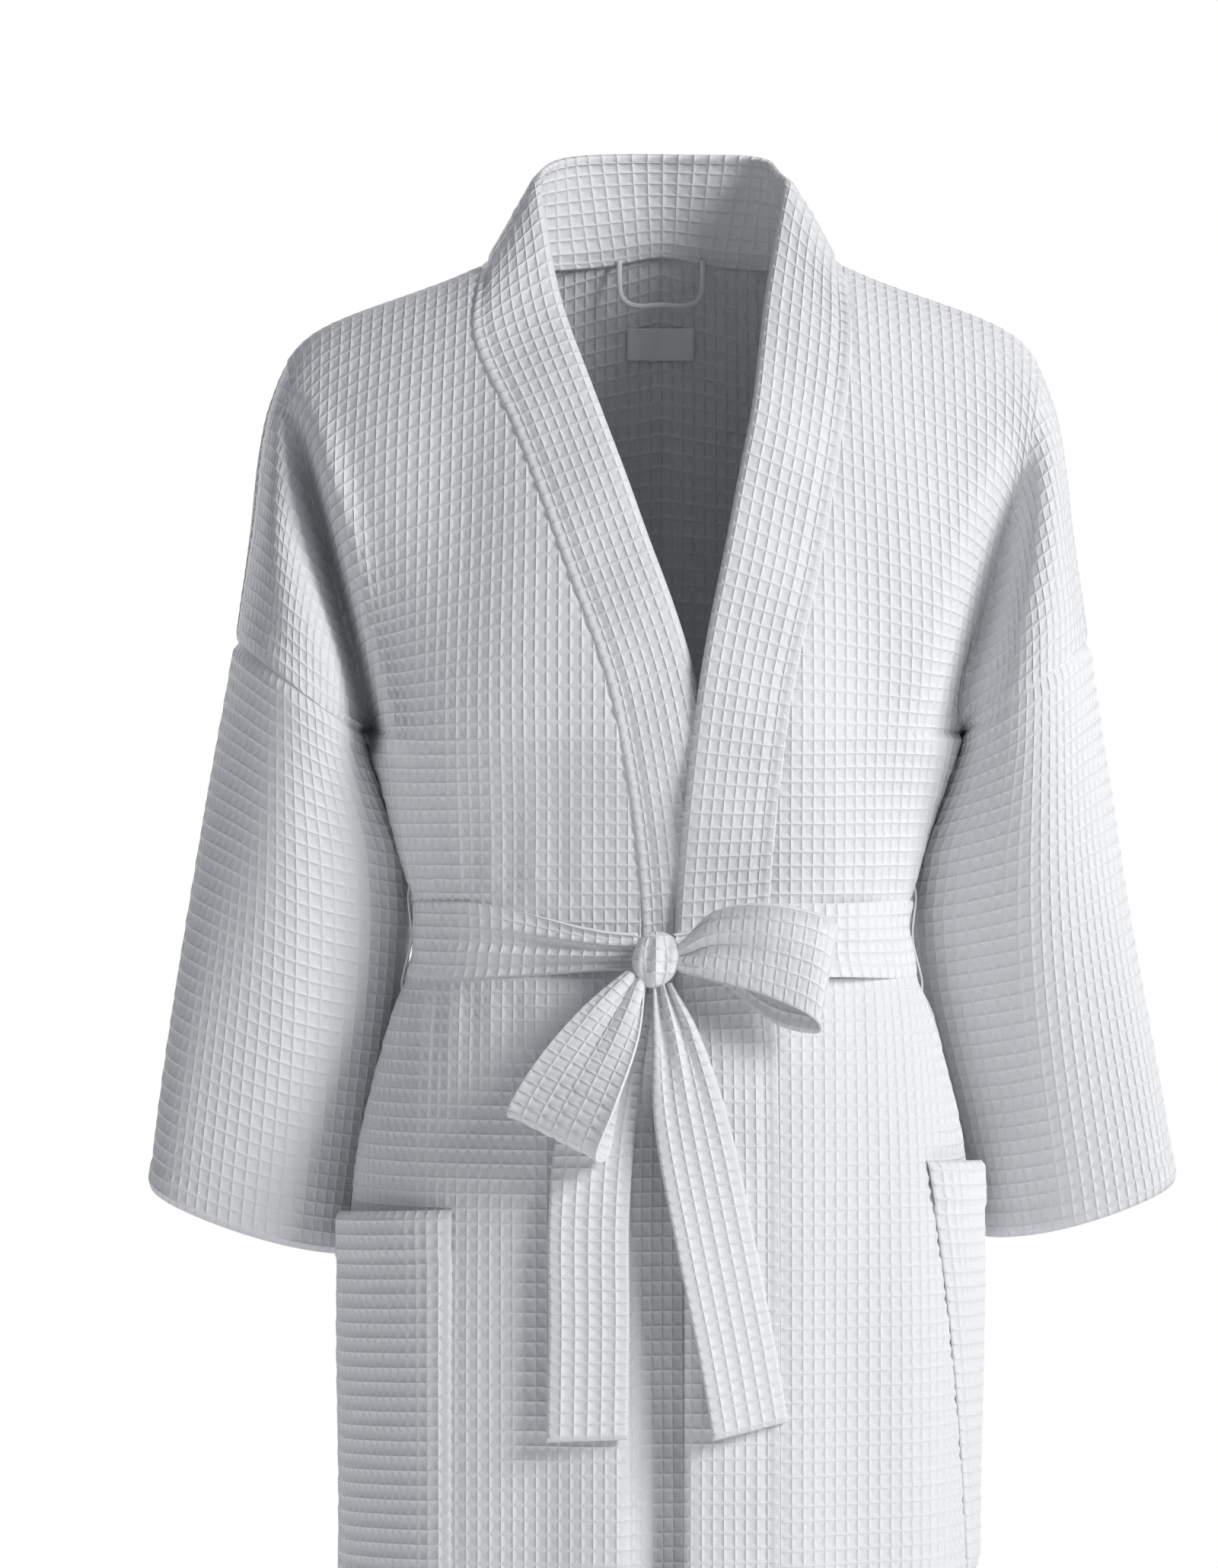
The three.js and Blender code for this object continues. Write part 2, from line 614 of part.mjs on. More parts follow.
add("back_panel", sheet(wholeBack(), cloth));
add("left_front_panel", sheet(frontPanel(topBand, true), cloth));
add("right_front_panel", sheet(mirrored(frontPanel(underBand, false)), cloth));
add("left_front_band", sheet(frontBand(topBand, true), doubled));
add("right_front_band", sheet(mirrored(frontBand(underBand, false)), doubled));
add("back_neck_band", sheet(wholeNeckBand(), doubled));
add("left_sleeve", sheet(sleeveRings(sleeveHems.left), cloth, true));
add("right_sleeve", sheet(mirrored(sleeveRings(sleeveHems.right)), cloth, true));

for (const side of ["left", "right"]) {
  const isLeft = side === "left";
  const place = (grid) => (isLeft ? grid : mirrored(grid));
  add(side + "_pocket", sheet(place(pocketPatch(pockets[side], isLeft, 0, 1, 0)), cloth));
  add(side + "_belt_carrier", sheet(place(carrierStrip()), carrier.cloth));
}

add("belt_wrap", sheet(beltStrip(), beltCloth));
add("belt_knot", new THREE.SphereGeometry(knot.radius, 18, 12).translate(knot.x, knotY, knot.z));
add("left_belt_tail", sheet(ribbon(leftTail, 14), beltCloth));
add("right_belt_tail", sheet(ribbon(rightTail, 14), beltCloth));
add("left_bow_loop", sheet(ribbon(leftLoop, 18), beltCloth));
add("right_bow_loop", sheet(ribbon(rightLoop, 18), beltCloth));
add("hang_loop", hangLoopSolid(), satin);
add("neck_label", sheet(labelPatch(), label.cloth), satin);

export default robe;
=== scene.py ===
import math

import bmesh
import bpy
import numpy as np

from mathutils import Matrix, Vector


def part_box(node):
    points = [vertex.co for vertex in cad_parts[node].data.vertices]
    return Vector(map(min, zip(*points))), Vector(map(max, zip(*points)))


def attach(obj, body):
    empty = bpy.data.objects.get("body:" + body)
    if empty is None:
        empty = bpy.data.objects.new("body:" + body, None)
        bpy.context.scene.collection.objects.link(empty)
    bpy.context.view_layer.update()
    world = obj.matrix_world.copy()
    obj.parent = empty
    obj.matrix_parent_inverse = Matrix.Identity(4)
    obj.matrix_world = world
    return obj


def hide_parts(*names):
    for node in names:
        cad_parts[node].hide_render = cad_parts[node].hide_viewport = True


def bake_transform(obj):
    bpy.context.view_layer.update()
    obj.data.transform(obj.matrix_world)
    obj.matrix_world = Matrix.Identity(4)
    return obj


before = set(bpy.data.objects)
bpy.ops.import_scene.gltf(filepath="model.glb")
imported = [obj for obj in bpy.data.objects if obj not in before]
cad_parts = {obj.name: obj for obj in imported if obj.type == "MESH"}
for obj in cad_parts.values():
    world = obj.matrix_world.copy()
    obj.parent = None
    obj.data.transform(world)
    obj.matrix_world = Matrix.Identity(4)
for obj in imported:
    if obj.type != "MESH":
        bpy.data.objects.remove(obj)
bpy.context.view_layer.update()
print("frame loaded")

# the body's shape: the same sections as the solids
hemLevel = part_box("back_panel")[0].z
beltLow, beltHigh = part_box("belt_wrap")[0].z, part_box("belt_wrap")[1].z
beltLevel = (beltLow + beltHigh) / 2
bodyShape = {
    "underarm": -0.284,
    "hip": -0.570,
    "levels": [hemLevel, -0.830, -0.570, -0.478, beltLevel, -0.356, -0.284],
    "half": [0.212, 0.205, 0.200, 0.180, 0.160, 0.173, 0.196],
    "front": [0.132, 0.127, 0.119, 0.101, 0.092, 0.098, 0.115],
    "back": [0.138, 0.133, 0.126, 0.102, 0.090, 0.094, 0.110],
    "squareness": 2.3,
    "collarPoint": (0.117, 0.024),
    "shoulderTip": (0.247, -0.030),
    "napeHeight": 0.070,
    "napeCut": 0.81,
    "chestFullness": 2.2,
    "backFullness": 3.6,
    "torsoEdge": 1.15,
    "crowding": 1.6,
    "seamDrift": 0.082,
}
armhole = {"x": 0.240, "z": -0.251, "alongX": 0.040, "alongZ": 0.030, "depth": 0.088}
# the fold between arm and chest: how far the arm stands out, how deep the fold goes, and its place
armRoll = {"share": 0.45, "out": 0.004}
armFolds = {
    "left": {"out": 0.012, "sink": 0.40, "spread": 0.010, "drop": 0.034},
    "right": {"out": 0.014, "sink": 0.50, "spread": 0.010, "drop": 0.034},
}
topBand = {
    "seam": [
        (0.072, hemLevel), (0.072, -0.830), (0.071, -0.490), (0.065, -0.412), (0.079, -0.266),
        (0.099, -0.172), (0.113, -0.092)
    ],
    "edge": [
        (0.014, hemLevel), (0.013, -0.830), (0.013, -0.490), (0.007, -0.418), (0.022, -0.256),
        (0.042, -0.150), (0.058, -0.068)
    ],
}
underBand = {
    "seam": [
        (0.025, hemLevel), (0.025, -0.830), (0.024, -0.490), (0.011, -0.412), (0.030, -0.264),
        (0.064, -0.164), (0.094, -0.084)
    ],
    "edge": [
        (-0.030, hemLevel), (-0.030, -0.830), (-0.031, -0.490), (-0.043, -0.404), (-0.022, -0.250),
        (0.013, -0.145), (0.042, -0.066)
    ],
}
collarbone = {"seam": (0.121, -0.022), "edge": (0.067, -0.046, 0.006)}
neckEdge = [(0.082, 0.002, 0.088), (0.068, 0.044, 0.104), (0.0, 0.062, 0.108)]
lap = {"lift": 0.0082, "widths": (0.080, 0.150), "heights": (-0.250, -0.070)}

# waffle cloth: a grid of raised ridges round sunk cells
waffle = {
    "wide": 0.0075, "tall": 0.0095, "high": 0.0019, "thick": 0.0022, "perCell": 2, "base": 0.0006,
    "uneven": 0.12, "measuredAt": 0.15
}


def ease(t):
    t = np.clip(t, 0.0, 1.0)
    return t * t * (3 - 2 * t)


# 0 before the start, 1 from the full value on
def edgeMask(distance, start, full):
    return ease((distance - start) / (full - start))


def mix(a, b, t):
    return a + (b - a) * t


def unit(v):
    return v / np.maximum(np.linalg.norm(v, axis=-1, keepdims=True), 1e-12)


# from one value to the next, each with its slope
def cubic(a, slopeA, b, slopeB, t):
    start = a * (2 * t**3 - 3 * t**2 + 1) + slopeA * (t**3 - 2 * t**2 + t)
    return start + b * (3 * t**2 - 2 * t**3) + slopeB * (t**3 - t**2)


def lengthsAlong(points):
    return np.concatenate([[0], np.cumsum(np.linalg.norm(np.diff(points, axis=0), axis=1))])


def resampled(line, keys, at):
    return np.stack([np.interp(at, keys, line[:, k]) for k in range(line.shape[1])], axis=1)


# smooth values between stations, one-sided at both ends
def stationCurve(at, keys, values):
    keys = np.asarray(keys, float)
    values = np.asarray(values, float).reshape(len(keys), -1)
    at = np.atleast_1d(np.asarray(at, float))
    slope = np.empty_like(values)
    slope[1:-1] = (values[2:] - values[:-2]) / (keys[2:] - keys[:-2])[:, None]
    slope[0] = (values[1] - values[0]) / (keys[1] - keys[0])
    slope[-1] = (values[-1] - values[-2]) / (keys[-1] - keys[-2])
    i = np.clip(np.searchsorted(keys, at) - 1, 0, len(keys) - 2)
    span = (keys[i + 1] - keys[i])[:, None]
    t = (at[:, None] - keys[i][:, None]) / span
    return cubic(values[i], slope[i] * span, values[i + 1], slope[i + 1] * span, t)


# centripetal spline through rows of guide points: (rows, guides, 3) to (rows, samples, 3)
def splineThrough(guides, perSpan=40):
    first, last = 2 * guides[:, :1] - guides[:, 1:2], 2 * guides[:, -1:] - guides[:, -2:-1]
    ext = np.concatenate([first, guides, last], axis=1)
    gap = np.maximum(np.linalg.norm(np.diff(ext, axis=1), axis=-1), 1e-6)[..., None] ** 0.5
    before, after = gap[:, :-1], gap[:, 1:]
    step = np.diff(ext, axis=1)
    tangent = step[:, :-1] / before - (ext[:, 2:] - ext[:, :-2]) / (before + after) + step[:, 1:] / after
    t = (np.arange(perSpan) / perSpan)[None, :, None]
    spans = []
    for k in range(guides.shape[1] - 1):
        width = gap[:, k + 1, None]
        m0, m1 = tangent[:, k, None] * width, tangent[:, k + 1, None] * width
        spans.append(cubic(guides[:, k, None], m0, guides[:, k + 1, None], m1, t))
    return np.concatenate(spans + [guides[:, -1:]], axis=1)


# rows of points again at even distances, with each row's length
def evenly(points, count):
    runs = [lengthsAlong(row) for row in points]
    out = [resampled(row, run, np.linspace(0, run[-1], count)) for row, run in zip(points, runs)]
    return np.stack(out), np.array([run[-1] for run in runs])


heights = np.linspace(0, 2, 401)  # 0 at the hem, 1 at the underarm, 2 at the shoulder line
shares = 241


def girthAt(z, part):
    return stationCurve(z, bodyShape["levels"], bodyShape[part])[:, 0]


def levelOf(height):
    return mix(hemLevel, bodyShape["underarm"], height)


def heightOf(z):
    return (z - hemLevel) / (bodyShape["underarm"] - hemLevel)


def sectionPoints(face, z, turns):
    angle = np.asarray(turns) * math.pi / 2
    power = 2 / bodyShape["squareness"]
    half = girthAt(z, "half")[:, None] * np.cos(angle)[None, :].clip(0) ** power
    deep = face * girthAt(z, "front" if face < 0 else "back")[:, None] * np.sin(angle)[None, :] ** power
    return np.stack([half, deep, np.broadcast_to(np.asarray(z)[:, None], half.shape)], axis=-1)


# rows of one face of the body, from its centre to its side or the armhole, on the wearer's left
def makeTable(face, fold):
    turns = [1, 0.82, 0.63, 0.44, 0.24, 0.12, 0]
    low = heights[heights <= 1]
    rowsLow, lengthLow = evenly(splineThrough(sectionPoints(face, levelOf(low), turns)), shares)
    share = heights[heights > 1] - 1
    t = (1 - (1 - share) ** bodyShape["crowding"])[:, None]
    square = bodyShape["chestFullness"] if face < 0 else bodyShape["backFullness"]
    depth = (1 - t**square) ** (1 / square)
    under = sectionPoints(face, np.array([bodyShape["underarm"]]), turns)[0]
    cp, tip = bodyShape["collarPoint"], bodyShape["shoulderTip"]
    nape = bodyShape["napeHeight"]
    line = [
        (0, nape), (cp[0] * 0.55, mix(nape, cp[1], 0.45)), (cp[0] + 0.018, cp[1] - 0.006),
        (tip[0] - 0.012, tip[1] + 0.006)
    ]
    guides = []
    for i, (topX, topZ) in enumerate(line):
        x = mix(under[i][0], topX, t ** bodyShape["torsoEdge"])
        guides.append(np.concatenate([x, under[i][1] * depth, mix(bodyShape["underarm"], topZ, t)], axis=1))
    angle = math.pi * share[:, None]
    ringX, ringZ = (armhole[a] - armhole["along" + a.upper()] * np.cos(angle) for a in ("x", "z"))
    ring = np.concatenate([ringX, face * armhole["depth"] * np.sin(angle), ringZ], axis=1)
    swell = np.sin(math.pi * t)
    valley = np.concatenate(
        [
            mix(under[4][0], tip[0] + fold["spread"], t ** bodyShape["torsoEdge"]),
            (guides[3][:, 1:2] + ring[:, 1:2]) / 2 * (1 - fold["sink"] * swell),
            mix(bodyShape["underarm"], tip[1] - fold["drop"], t),
        ],
        axis=1,
    )
    roll = np.concatenate([armRoll["out"] * swell, face * fold["out"] * swell, 0 * swell], axis=1)
    front = mix(ring, valley, armRoll["share"]) + roll
    rowsHigh, lengthHigh = evenly(splineThrough(np.stack([*guides, valley, front, ring], axis=1)), shares)
    return {"points": np.concatenate([rowsLow, rowsHigh]), "lengths": np.concatenate([lengthLow, lengthHigh])}


tables = {
    (side, face): makeTable(face, armFolds[side] if face < 0 else armFolds["left"])
    for side in ("left", "right") for face in (-1, 1)
}


# points of a table at a height and a share of its row
def sample(table, height, share):
    i = np.clip(height / 2 * (len(heights) - 1), 0, len(heights) - 1.001)
    j = np.clip(share * (shares - 1), 0, shares - 1.001)
    i0, j0 = i.astype(int), j.astype(int)
    fi, fj = (i - i0)[..., None], (j - j0)[..., None]
    p = table["points"]
    return mix(mix(p[i0, j0], p[i0, j0 + 1], fj), mix(p[i0 + 1, j0], p[i0 + 1, j0 + 1], fj), fi)


def rowLength(side, face, height):
    return np.interp(height, heights, tables[(side, face)]["lengths"])


# a point at a distance round the body from the centre; below the underarm it goes on past the side
def clothPoint(side, face, height, around):
    length = rowLength(side, face, height)
    p = sample(tables[(side, face)], height, np.clip(around / length, 0, 1))
    past = (around > length) & (height <= 1)
    if past.any():
        beyond = 1 - (around - length) / rowLength(side, -face, height)
        p = np.where(past[..., None], sample(tables[(side, -face)], height, np.clip(beyond, 0, 1)), p)
    return p


def clothNormal(side, face, height, around):
    step, rise = 0.002, 0.01
    last = np.where(height > 1, rowLength(side, face, height), 9.0)
    far = np.minimum(last, around + step)
    near = np.maximum(0, np.minimum(last, around) - step)
    across = clothPoint(side, face, height, far) - clothPoint(side, face, height, near)
    above, below = np.minimum(2, height + rise), np.maximum(0, height - rise)
    up = clothPoint(side, face, above, around) - clothPoint(side, face, below, around)
    return -face * unit(np.cross(across, up))


# how far the side seam has moved to the front
def driftAt(height):
    down = ease((1 - height) / (1 - heightOf(bodyShape["hip"])))
    return np.where(height > 1, 0.0, bodyShape["seamDrift"] * down)


# distance round the front, at every height, at which the band's seam runs
def seamTable(side, band):
    stations = band["seam"] + [collarbone["seam"], bodyShape["collarPoint"]]
    zs, xs = [s[1] for s in stations], [s[0] for s in stations]
    table = tables[(side, -1)]
    seamX = stationCurve(table["points"][..., 2].ravel(), zs, xs).reshape(len(heights), shares)
    seamX[-1] = bodyShape["collarPoint"][0]
    over = table["points"][..., 0] - seamX
    out = np.empty(len(heights))
    for i in range(len(heights)):
        j = max(1, int(np.argmax(over[i] > 0)))
        t = -over[i, j - 1] / (over[i, j] - over[i, j - 1])
        out[i] = (j - 1 + t) / (shares - 1) * table["lengths"][i]
    return out


seams = {"left": seamTable("left", topBand), "right": seamTable("right", underBand)}


# height and distance round of a width and a level on the cloth
def placeOn(side, face, x, z):
    table = tables[(side, face)]
    found = []
    for xt, zt in zip(np.abs(x), z):
        over = table["points"][..., 0] > xt
        j = np.maximum(1, np.argmax(over, axis=1))
        rows = np.arange(len(heights))
        x0, x1 = table["points"][rows, j - 1, 0], table["points"][rows, j, 0]
        t = np.clip((xt - x0) / np.maximum(x1 - x0, 1e-9), 0, 1)
        zRow = mix(table["points"][rows, j - 1, 2], table["points"][rows, j, 2], t)
        around = (j - 1 + t) / (shares - 1) * table["lengths"]
        height = np.interp(zt, zRow, heights)
        found.append((height, np.interp(height, heights, around)))
    return np.array(found).T


def liftOf(p):
    reach, rise = 1 - edgeMask(p[..., 0], *lap["widths"]), 1 - edgeMask(p[..., 2], *lap["heights"])
    return lap["lift"] * reach * rise


def raised(p):
    q = p.copy()
    q[..., 1] -= liftOf(p)
    return q


def mirrored(p):
    q = np.array(p, float)
    q[..., 0] *= -1
    return q


# relief and folds of the cloth
# 1 on the ridges of the weave and 0 in its cells, from distances along the cloth
def ridges(u, v, wide=None, tall=None):
    u, v = u / (wide or waffle["wide"]), v / (tall or waffle["tall"])
    a, b = np.abs(u % 1 - 0.5) * 2, np.abs(v % 1 - 0.5) * 2
    uneven = 1 + waffle["uneven"] * np.sin(12.9898 * np.floor(u) + 78.233 * np.floor(v))
    return (0.86 * np.maximum(a, b) ** 1.5 + 0.14 * (a * b) ** 2) * uneven


folds = {
    "cinch": 0.0013, "cinchReach": 0.040, "cinchWide": 0.027, "skirt": 0.0034, "skirtWide": 0.135,
    "chest": 0.0024
}


# soft folds: gathers above and below the belt, long folds down the skirt, and drags on the chest
def foldsAt(side, face, z, around):
    shift = {("left", -1): 0.3, ("right", -1): 1.7, ("left", 1): 2.9, ("right", 1): 2.9}[(side, face)]
    off = np.maximum(0, np.abs(z - beltLevel) - (beltHigh - beltLow) / 2)
    cinch = folds["cinch"] * ease(off / 0.02) * np.exp(-off / folds["cinchReach"])
    wave = np.sin(2 * math.pi * around / folds["cinchWide"] + shift + 1.3 * np.sin(around * 23 + shift))
    below = ease((beltLow - 0.02 - z) / 0.25)
    long = np.sin(2 * math.pi * around / folds["skirtWide"] + shift + 1.6 * (z + 0.5))
    skirt = folds["skirt"] * below * long
    above = ease((z - beltHigh) / 0.08) * ease((0.02 - z) / 0.12)
    drag = folds["chest"] * above * np.sin(2 * math.pi * (around * 0.8 + z * 0.55) / 0.16 + 2 * shift)
    return cinch * wave + skirt + drag


made = {}  # every piece by its name


def linked(name, data):
    thing = bpy.data.objects.new(name, data)
    bpy.context.scene.collection.objects.link(thing)
    return thing


# a sheet from rows of points: it starts as a grid, is laid on the points, welded, and given its thickness
def gridPiece(name, points, cells, thick, normals=None, weld=0.0003, others=None):
    rows, columns = points.shape[:2]
    bm = bmesh.new()
    bmesh.ops.create_grid(bm, x_segments=columns - 1, y_segments=rows - 1, size=1.0, calc_uvs=False)
    bm.loops.layers.uv.new("cells")
    mesh = bpy.data.meshes.new(name)
    bm.to_mesh(mesh)
    bm.free()
    flat = np.empty(len(mesh.vertices) * 3)
    mesh.vertices.foreach_get("co", flat)
    flat = flat.reshape(-1, 3)
    i = np.rint((flat[:, 1] + 1) / 2 * (rows - 1)).astype(int)
    j = np.rint((flat[:, 0] + 1) / 2 * (columns - 1)).astype(int)
    mesh.vertices.foreach_set("co", points[i, j].ravel())
    corner = np.empty(len(mesh.loops), int)
    mesh.loops.foreach_get("vertex_index", corner)
    place = cells[i, j][corner]
    if others is not None:  # faces mostly on the arm take the arm's cells
        share = others[1][i, j][corner].reshape(-1, 4).mean(axis=1).repeat(4)
        place = np.where(share[:, None] > 0.5, others[0][i, j][corner], place)
    mesh.uv_layers["cells"].data.foreach_set("uv", place.ravel())
    bm = bmesh.new()
    bm.from_mesh(mesh)
    bmesh.ops.remove_doubles(bm, verts=bm.verts, dist=weld)
    bmesh.ops.dissolve_degenerate(bm, edges=bm.edges, dist=weld / 2)
    bm.normal_update()
    if normals is not None:
        middle = normals[rows // 2, columns // 2]
        spot = points[rows // 2, columns // 2]
        nearest = min(bm.faces, key=lambda f: (f.calc_center_median() - Vector(spot)).length_squared)
        if nearest.normal.dot(Vector(middle)) < 0:
            bmesh.ops.reverse_faces(bm, faces=bm.faces)
    bm.to_mesh(mesh)
    bm.free()
    mesh.polygons.foreach_set("use_smooth", np.ones(len(mesh.polygons), bool))
    piece = made[name] = linked(name, mesh)
    if thick:
        wall = piece.modifiers.new("thickness", "SOLIDIFY")
        wall.thickness = thick
        wall.offset = -1.0
        wall.use_even_offset = False
    return piece


def gridNormals(points, closed=False):
    if closed:
        wrapped = np.concatenate([points[:, -2:-1], points, points[:, 1:2]], axis=1)
        across = wrapped[:, 2:] - wrapped[:, :-2]
    else:
        across = np.gradient(points, axis=1)
    return unit(np.cross(across, np.gradient(points, axis=0)))


# 1 along a line at a distance from an edge, falling off to both sides
def lineAt(distance, at, wide):
    return np.exp(-(((distance - at) / wide) ** 2))


# heights at even distances up the cloth, measured on one column
def columnHeights(side, face, around, step):
    p = clothPoint(side, face, heights, np.full(len(heights), around))
    cum = lengthsAlong(p)
    count = int(round(cum[-1] / step))
    return np.interp(np.linspace(0, cum[-1], count + 1), cum, heights), np.arange(count + 1) * step


sleeveSettings = {
    "middle": (0.250, 0.016, -0.412),
    "left": {
        "centre": (0.278, 0.036, -0.596), "outward": (0.061, -0.033, 0.018),
        "backward": (0.010, 0.040, 0.012)
    },
    "right": {
        "centre": (0.270, 0.036, -0.604), "outward": (0.067, -0.033, 0.020),
        "backward": (0.014, 0.040, 0.014)
    },
    "hem": 0.019,
    "aroundCells": 56,
    "folds": {"left": 0.0018, "right": 0.0015},
    "tuck": 0.005,
    "gap": 0.0006,
    "groove": 0.0011,
    "stand": 0.0009,
    "tucked": 0.0024,
    "inward": {
        "levels": [-0.62, -0.52, -0.45, -0.40, -0.356, -0.32, -0.29],
        "left": [0, 0.012, 0.026, 0.031, 0.026, 0.012, 0.002],
        "right": [0, 0.010, 0.020, 0.026, 0.026, 0.013, 0.002],
    },
    "behind": 0.75,
}

hem = {"deep": 0.030, "stand": 0.0008, "groove": 0.0011}


# the turned-up hem: a thicker strip with a stitched groove above it
def hemRelief(v):
    strip = 1 - ease((v - hem["deep"]) / 0.002)
    return hem["stand"] * strip - hem["groove"] * lineAt(v, hem["deep"] - 0.001, 0.0012)


# the crease where the chest cloth hangs over the arm: its line down the front, depth and width
creases = {
    "right": {"deep": 0.048, "wide": 0.0075, "top": -0.050, "full": -0.120, "low": -0.276, "end": -0.300},
    "left": {"deep": 0.015, "wide": 0.011, "top": -0.060, "full": -0.150, "low": -0.250, "end": -0.290},
}
creaseLine = [
    (-0.310, 0.187), (-0.270, 0.194), (-0.204, 0.211), (-0.158, 0.222), (-0.105, 0.236), (-0.059, 0.246)
]


def creaseAt(z):
    return np.interp(z, [at for at, _ in creaseLine], [x for _, x in creaseLine])


def creased(q, side):
    facts = creases[side]
    across = (q[..., 0] - creaseAt(q[..., 2])) / facts["wide"]
    share = edgeMask(q[..., 2], facts["top"], facts["full"]) * edgeMask(q[..., 2], facts["end"], facts["low"])
    out = q.copy()
    shape = np.exp(-(across**2)) - 0.22 * np.exp(-((across + 2.2) ** 2) / 2)
    out[..., 1] += facts["deep"] * share * shape
    return out


shoulderLap = {"reach": 0.0015, "under": 0.0012}
# how far from its edges a panel gets its whole relief, and its whole folds
panelEdges = {"side": 0.003, "top": 0.004, "calmSeam": 0.06, "calmSide": 0.03, "calmTop": 0.04}


# how much of a panel's relief and of its folds shows near its side and top edges
def panelMasks(fromSide, fromTop):
    near = edgeMask(fromSide, 0.0, panelEdges["side"]) * edgeMask(fromTop, 0.0, panelEdges["top"])
    calm = edgeMask(fromSide, 0.0, panelEdges["calmSide"]) * edgeMask(fromTop, 0.0, panelEdges["calmTop"])
    return near, calm


def frontPanel(side, lifted):
    perCell = waffle["perCell"]
    h, v = columnHeights(side, -1, waffle["measuredAt"], waffle["tall"] / perCell)
    low = np.interp(h, heights, seams[side])
    high = rowLength(side, -1, h) + driftAt(h)
    stepU = waffle["wide"] / perCell
    u = np.arange(math.floor(low.min() / stepU), math.ceil(high.max() / stepU) + 1) * stepU
    around = np.clip(u[None, :], low[:, None], high[:, None])
    height = np.broadcast_to(h[:, None], around.shape)
    upCloth = np.broadcast_to(v[:, None], around.shape)
    p = clothPoint(side, -1, height, around)
    n = clothNormal(side, -1, height, around)
    seamDistance, sideDistance = around - low[:, None], high[:, None] - around
    near, calm = panelMasks(sideDistance, v[-1] - upCloth)
    near = near * edgeMask(seamDistance, 0.0, panelEdges["side"])
    calm = calm * edgeMask(seamDistance, 0.0, panelEdges["calmSeam"])
    onArm = (p[..., 0] > creaseAt(p[..., 2])) & (height > 1)
    armAround = (0.5 + 0.5 * np.maximum(height - 1, 0)) * sleeveSettings["aroundCells"]
    armCells = np.stack([armAround, -sideDistance / waffle["tall"]], axis=-1)
    armRidges = 0.7 * ridges(armCells[..., 0], armCells[..., 1], 1.0, 1.0)
    bump = waffle["high"] * np.where(onArm, armRidges, ridges(around, upCloth)) * near
    off = waffle["base"] * near + bump + hemRelief(upCloth) + foldsAt(side, -1, p[..., 2], around) * calm
    q = p + n * off[..., None]
    q = creased(q, side)
    if lifted:
        q = raised(q)
    reach = np.full(around.shape[1], 2 - shoulderLap["reach"])
    tongue = sample(tables[(side, 1)], reach, around[-1] / high[-1])
    tongue[:, 2] -= shoulderLap["under"]
    q = np.concatenate([q, tongue[None]])
    around, upCloth, onArm = (np.concatenate([a, a[-1:]]) for a in (around, upCloth, onArm))
    armCells, n = np.concatenate([armCells, armCells[-1:]]), np.concatenate([n, n[-1:]])
    if side == "right":
        q, n = mirrored(q), mirrored(n)
    cells = np.stack([around / waffle["wide"], upCloth / waffle["tall"]], axis=-1)
    gridPiece(side + "_front", q, cells, waffle["thick"], n, others=(armCells, onArm * 1.0))


shoulderLine = tables[("left", 1)]["points"][-1, :, 0]
neckRound = float(np.interp(bodyShape["collarPoint"][0], shoulderLine, np.linspace(0, 1, shares)))


# height at which the neckline cuts a column of the back
def neckCut(share):
    return 1 + mix(bodyShape["napeCut"], 1.0, np.clip(share / neckRound, 0, 1) ** 2.4)


def backPanel():
    perCell = waffle["perCell"]
    h, v = columnHeights("left", 1, waffle["measuredAt"], waffle["tall"] / perCell)
    stepU = waffle["wide"] / perCell
    end = rowLength("left", 1, h) - driftAt(h)
    reach = math.ceil(end.max() / stepU)
    u = np.arange(-reach, reach + 1) * stepU
    around = np.clip(np.abs(u)[None, :], 0, end[:, None])
    height = np.broadcast_to(h[:, None], around.shape)
    height = np.minimum(height, neckCut(around / rowLength("left", 1, height)))
    around = np.minimum(around, rowLength("left", 1, height) - driftAt(height))
    upCloth = np.interp(height, h, v)
    p = clothPoint("left", 1, height, around)
    n = clothNormal("left", 1, height, np.maximum(around, 1e-5))
    sideDistance = rowLength("left", 1, height) - driftAt(height) - around
    topDistance = np.interp(neckCut(around / rowLength("left", 1, height)), h, v) - upCloth
    near, calm = panelMasks(sideDistance, topDistance)
    bump = waffle["high"] * ridges(around, upCloth) * near
    off = waffle["base"] * near + bump + hemRelief(upCloth) + foldsAt("left", 1, p[..., 2], around) * calm
    q = p + n * off[..., None]
    sign = np.where(u < 0, -1.0, 1.0)
    q[..., 0] *= sign[None, :]
    n = n.copy()
    n[..., 0] *= sign[None, :]
    cellsAcross = np.broadcast_to(u[None, :], around.shape) / waffle["wide"]
    cells = np.stack([cellsAcross, upCloth / waffle["tall"]], axis=-1)
    gridPiece("back", q, cells, waffle["thick"], n)


frontPanel("left", True)
frontPanel("right", False)
backPanel()
print("panels laid")

# front and neck band: one doubled strip from hem to hem
bandSettings = {
    "strip": 0.009,  # the two welts beside the seam
    "thick": 0.0038,
    "roll": 0.0014,
    "cells": 7,
    "over": -0.07,  # where the seam edge starts, as a share of the width
    "stand": 0.0014,
    "welt": 0.0018,
    "edgeCurl": 0.0022,
    "seamCurl": 0.0016,
    "groove": 0.0010,
    "ripple": 0.0012,
    "rippleLong": 0.083,
    "sink": 0.017,  # the under band lies back from the lap below the sash
    "sinkFrom": -0.036,
    "sinkWide": 0.040,
}


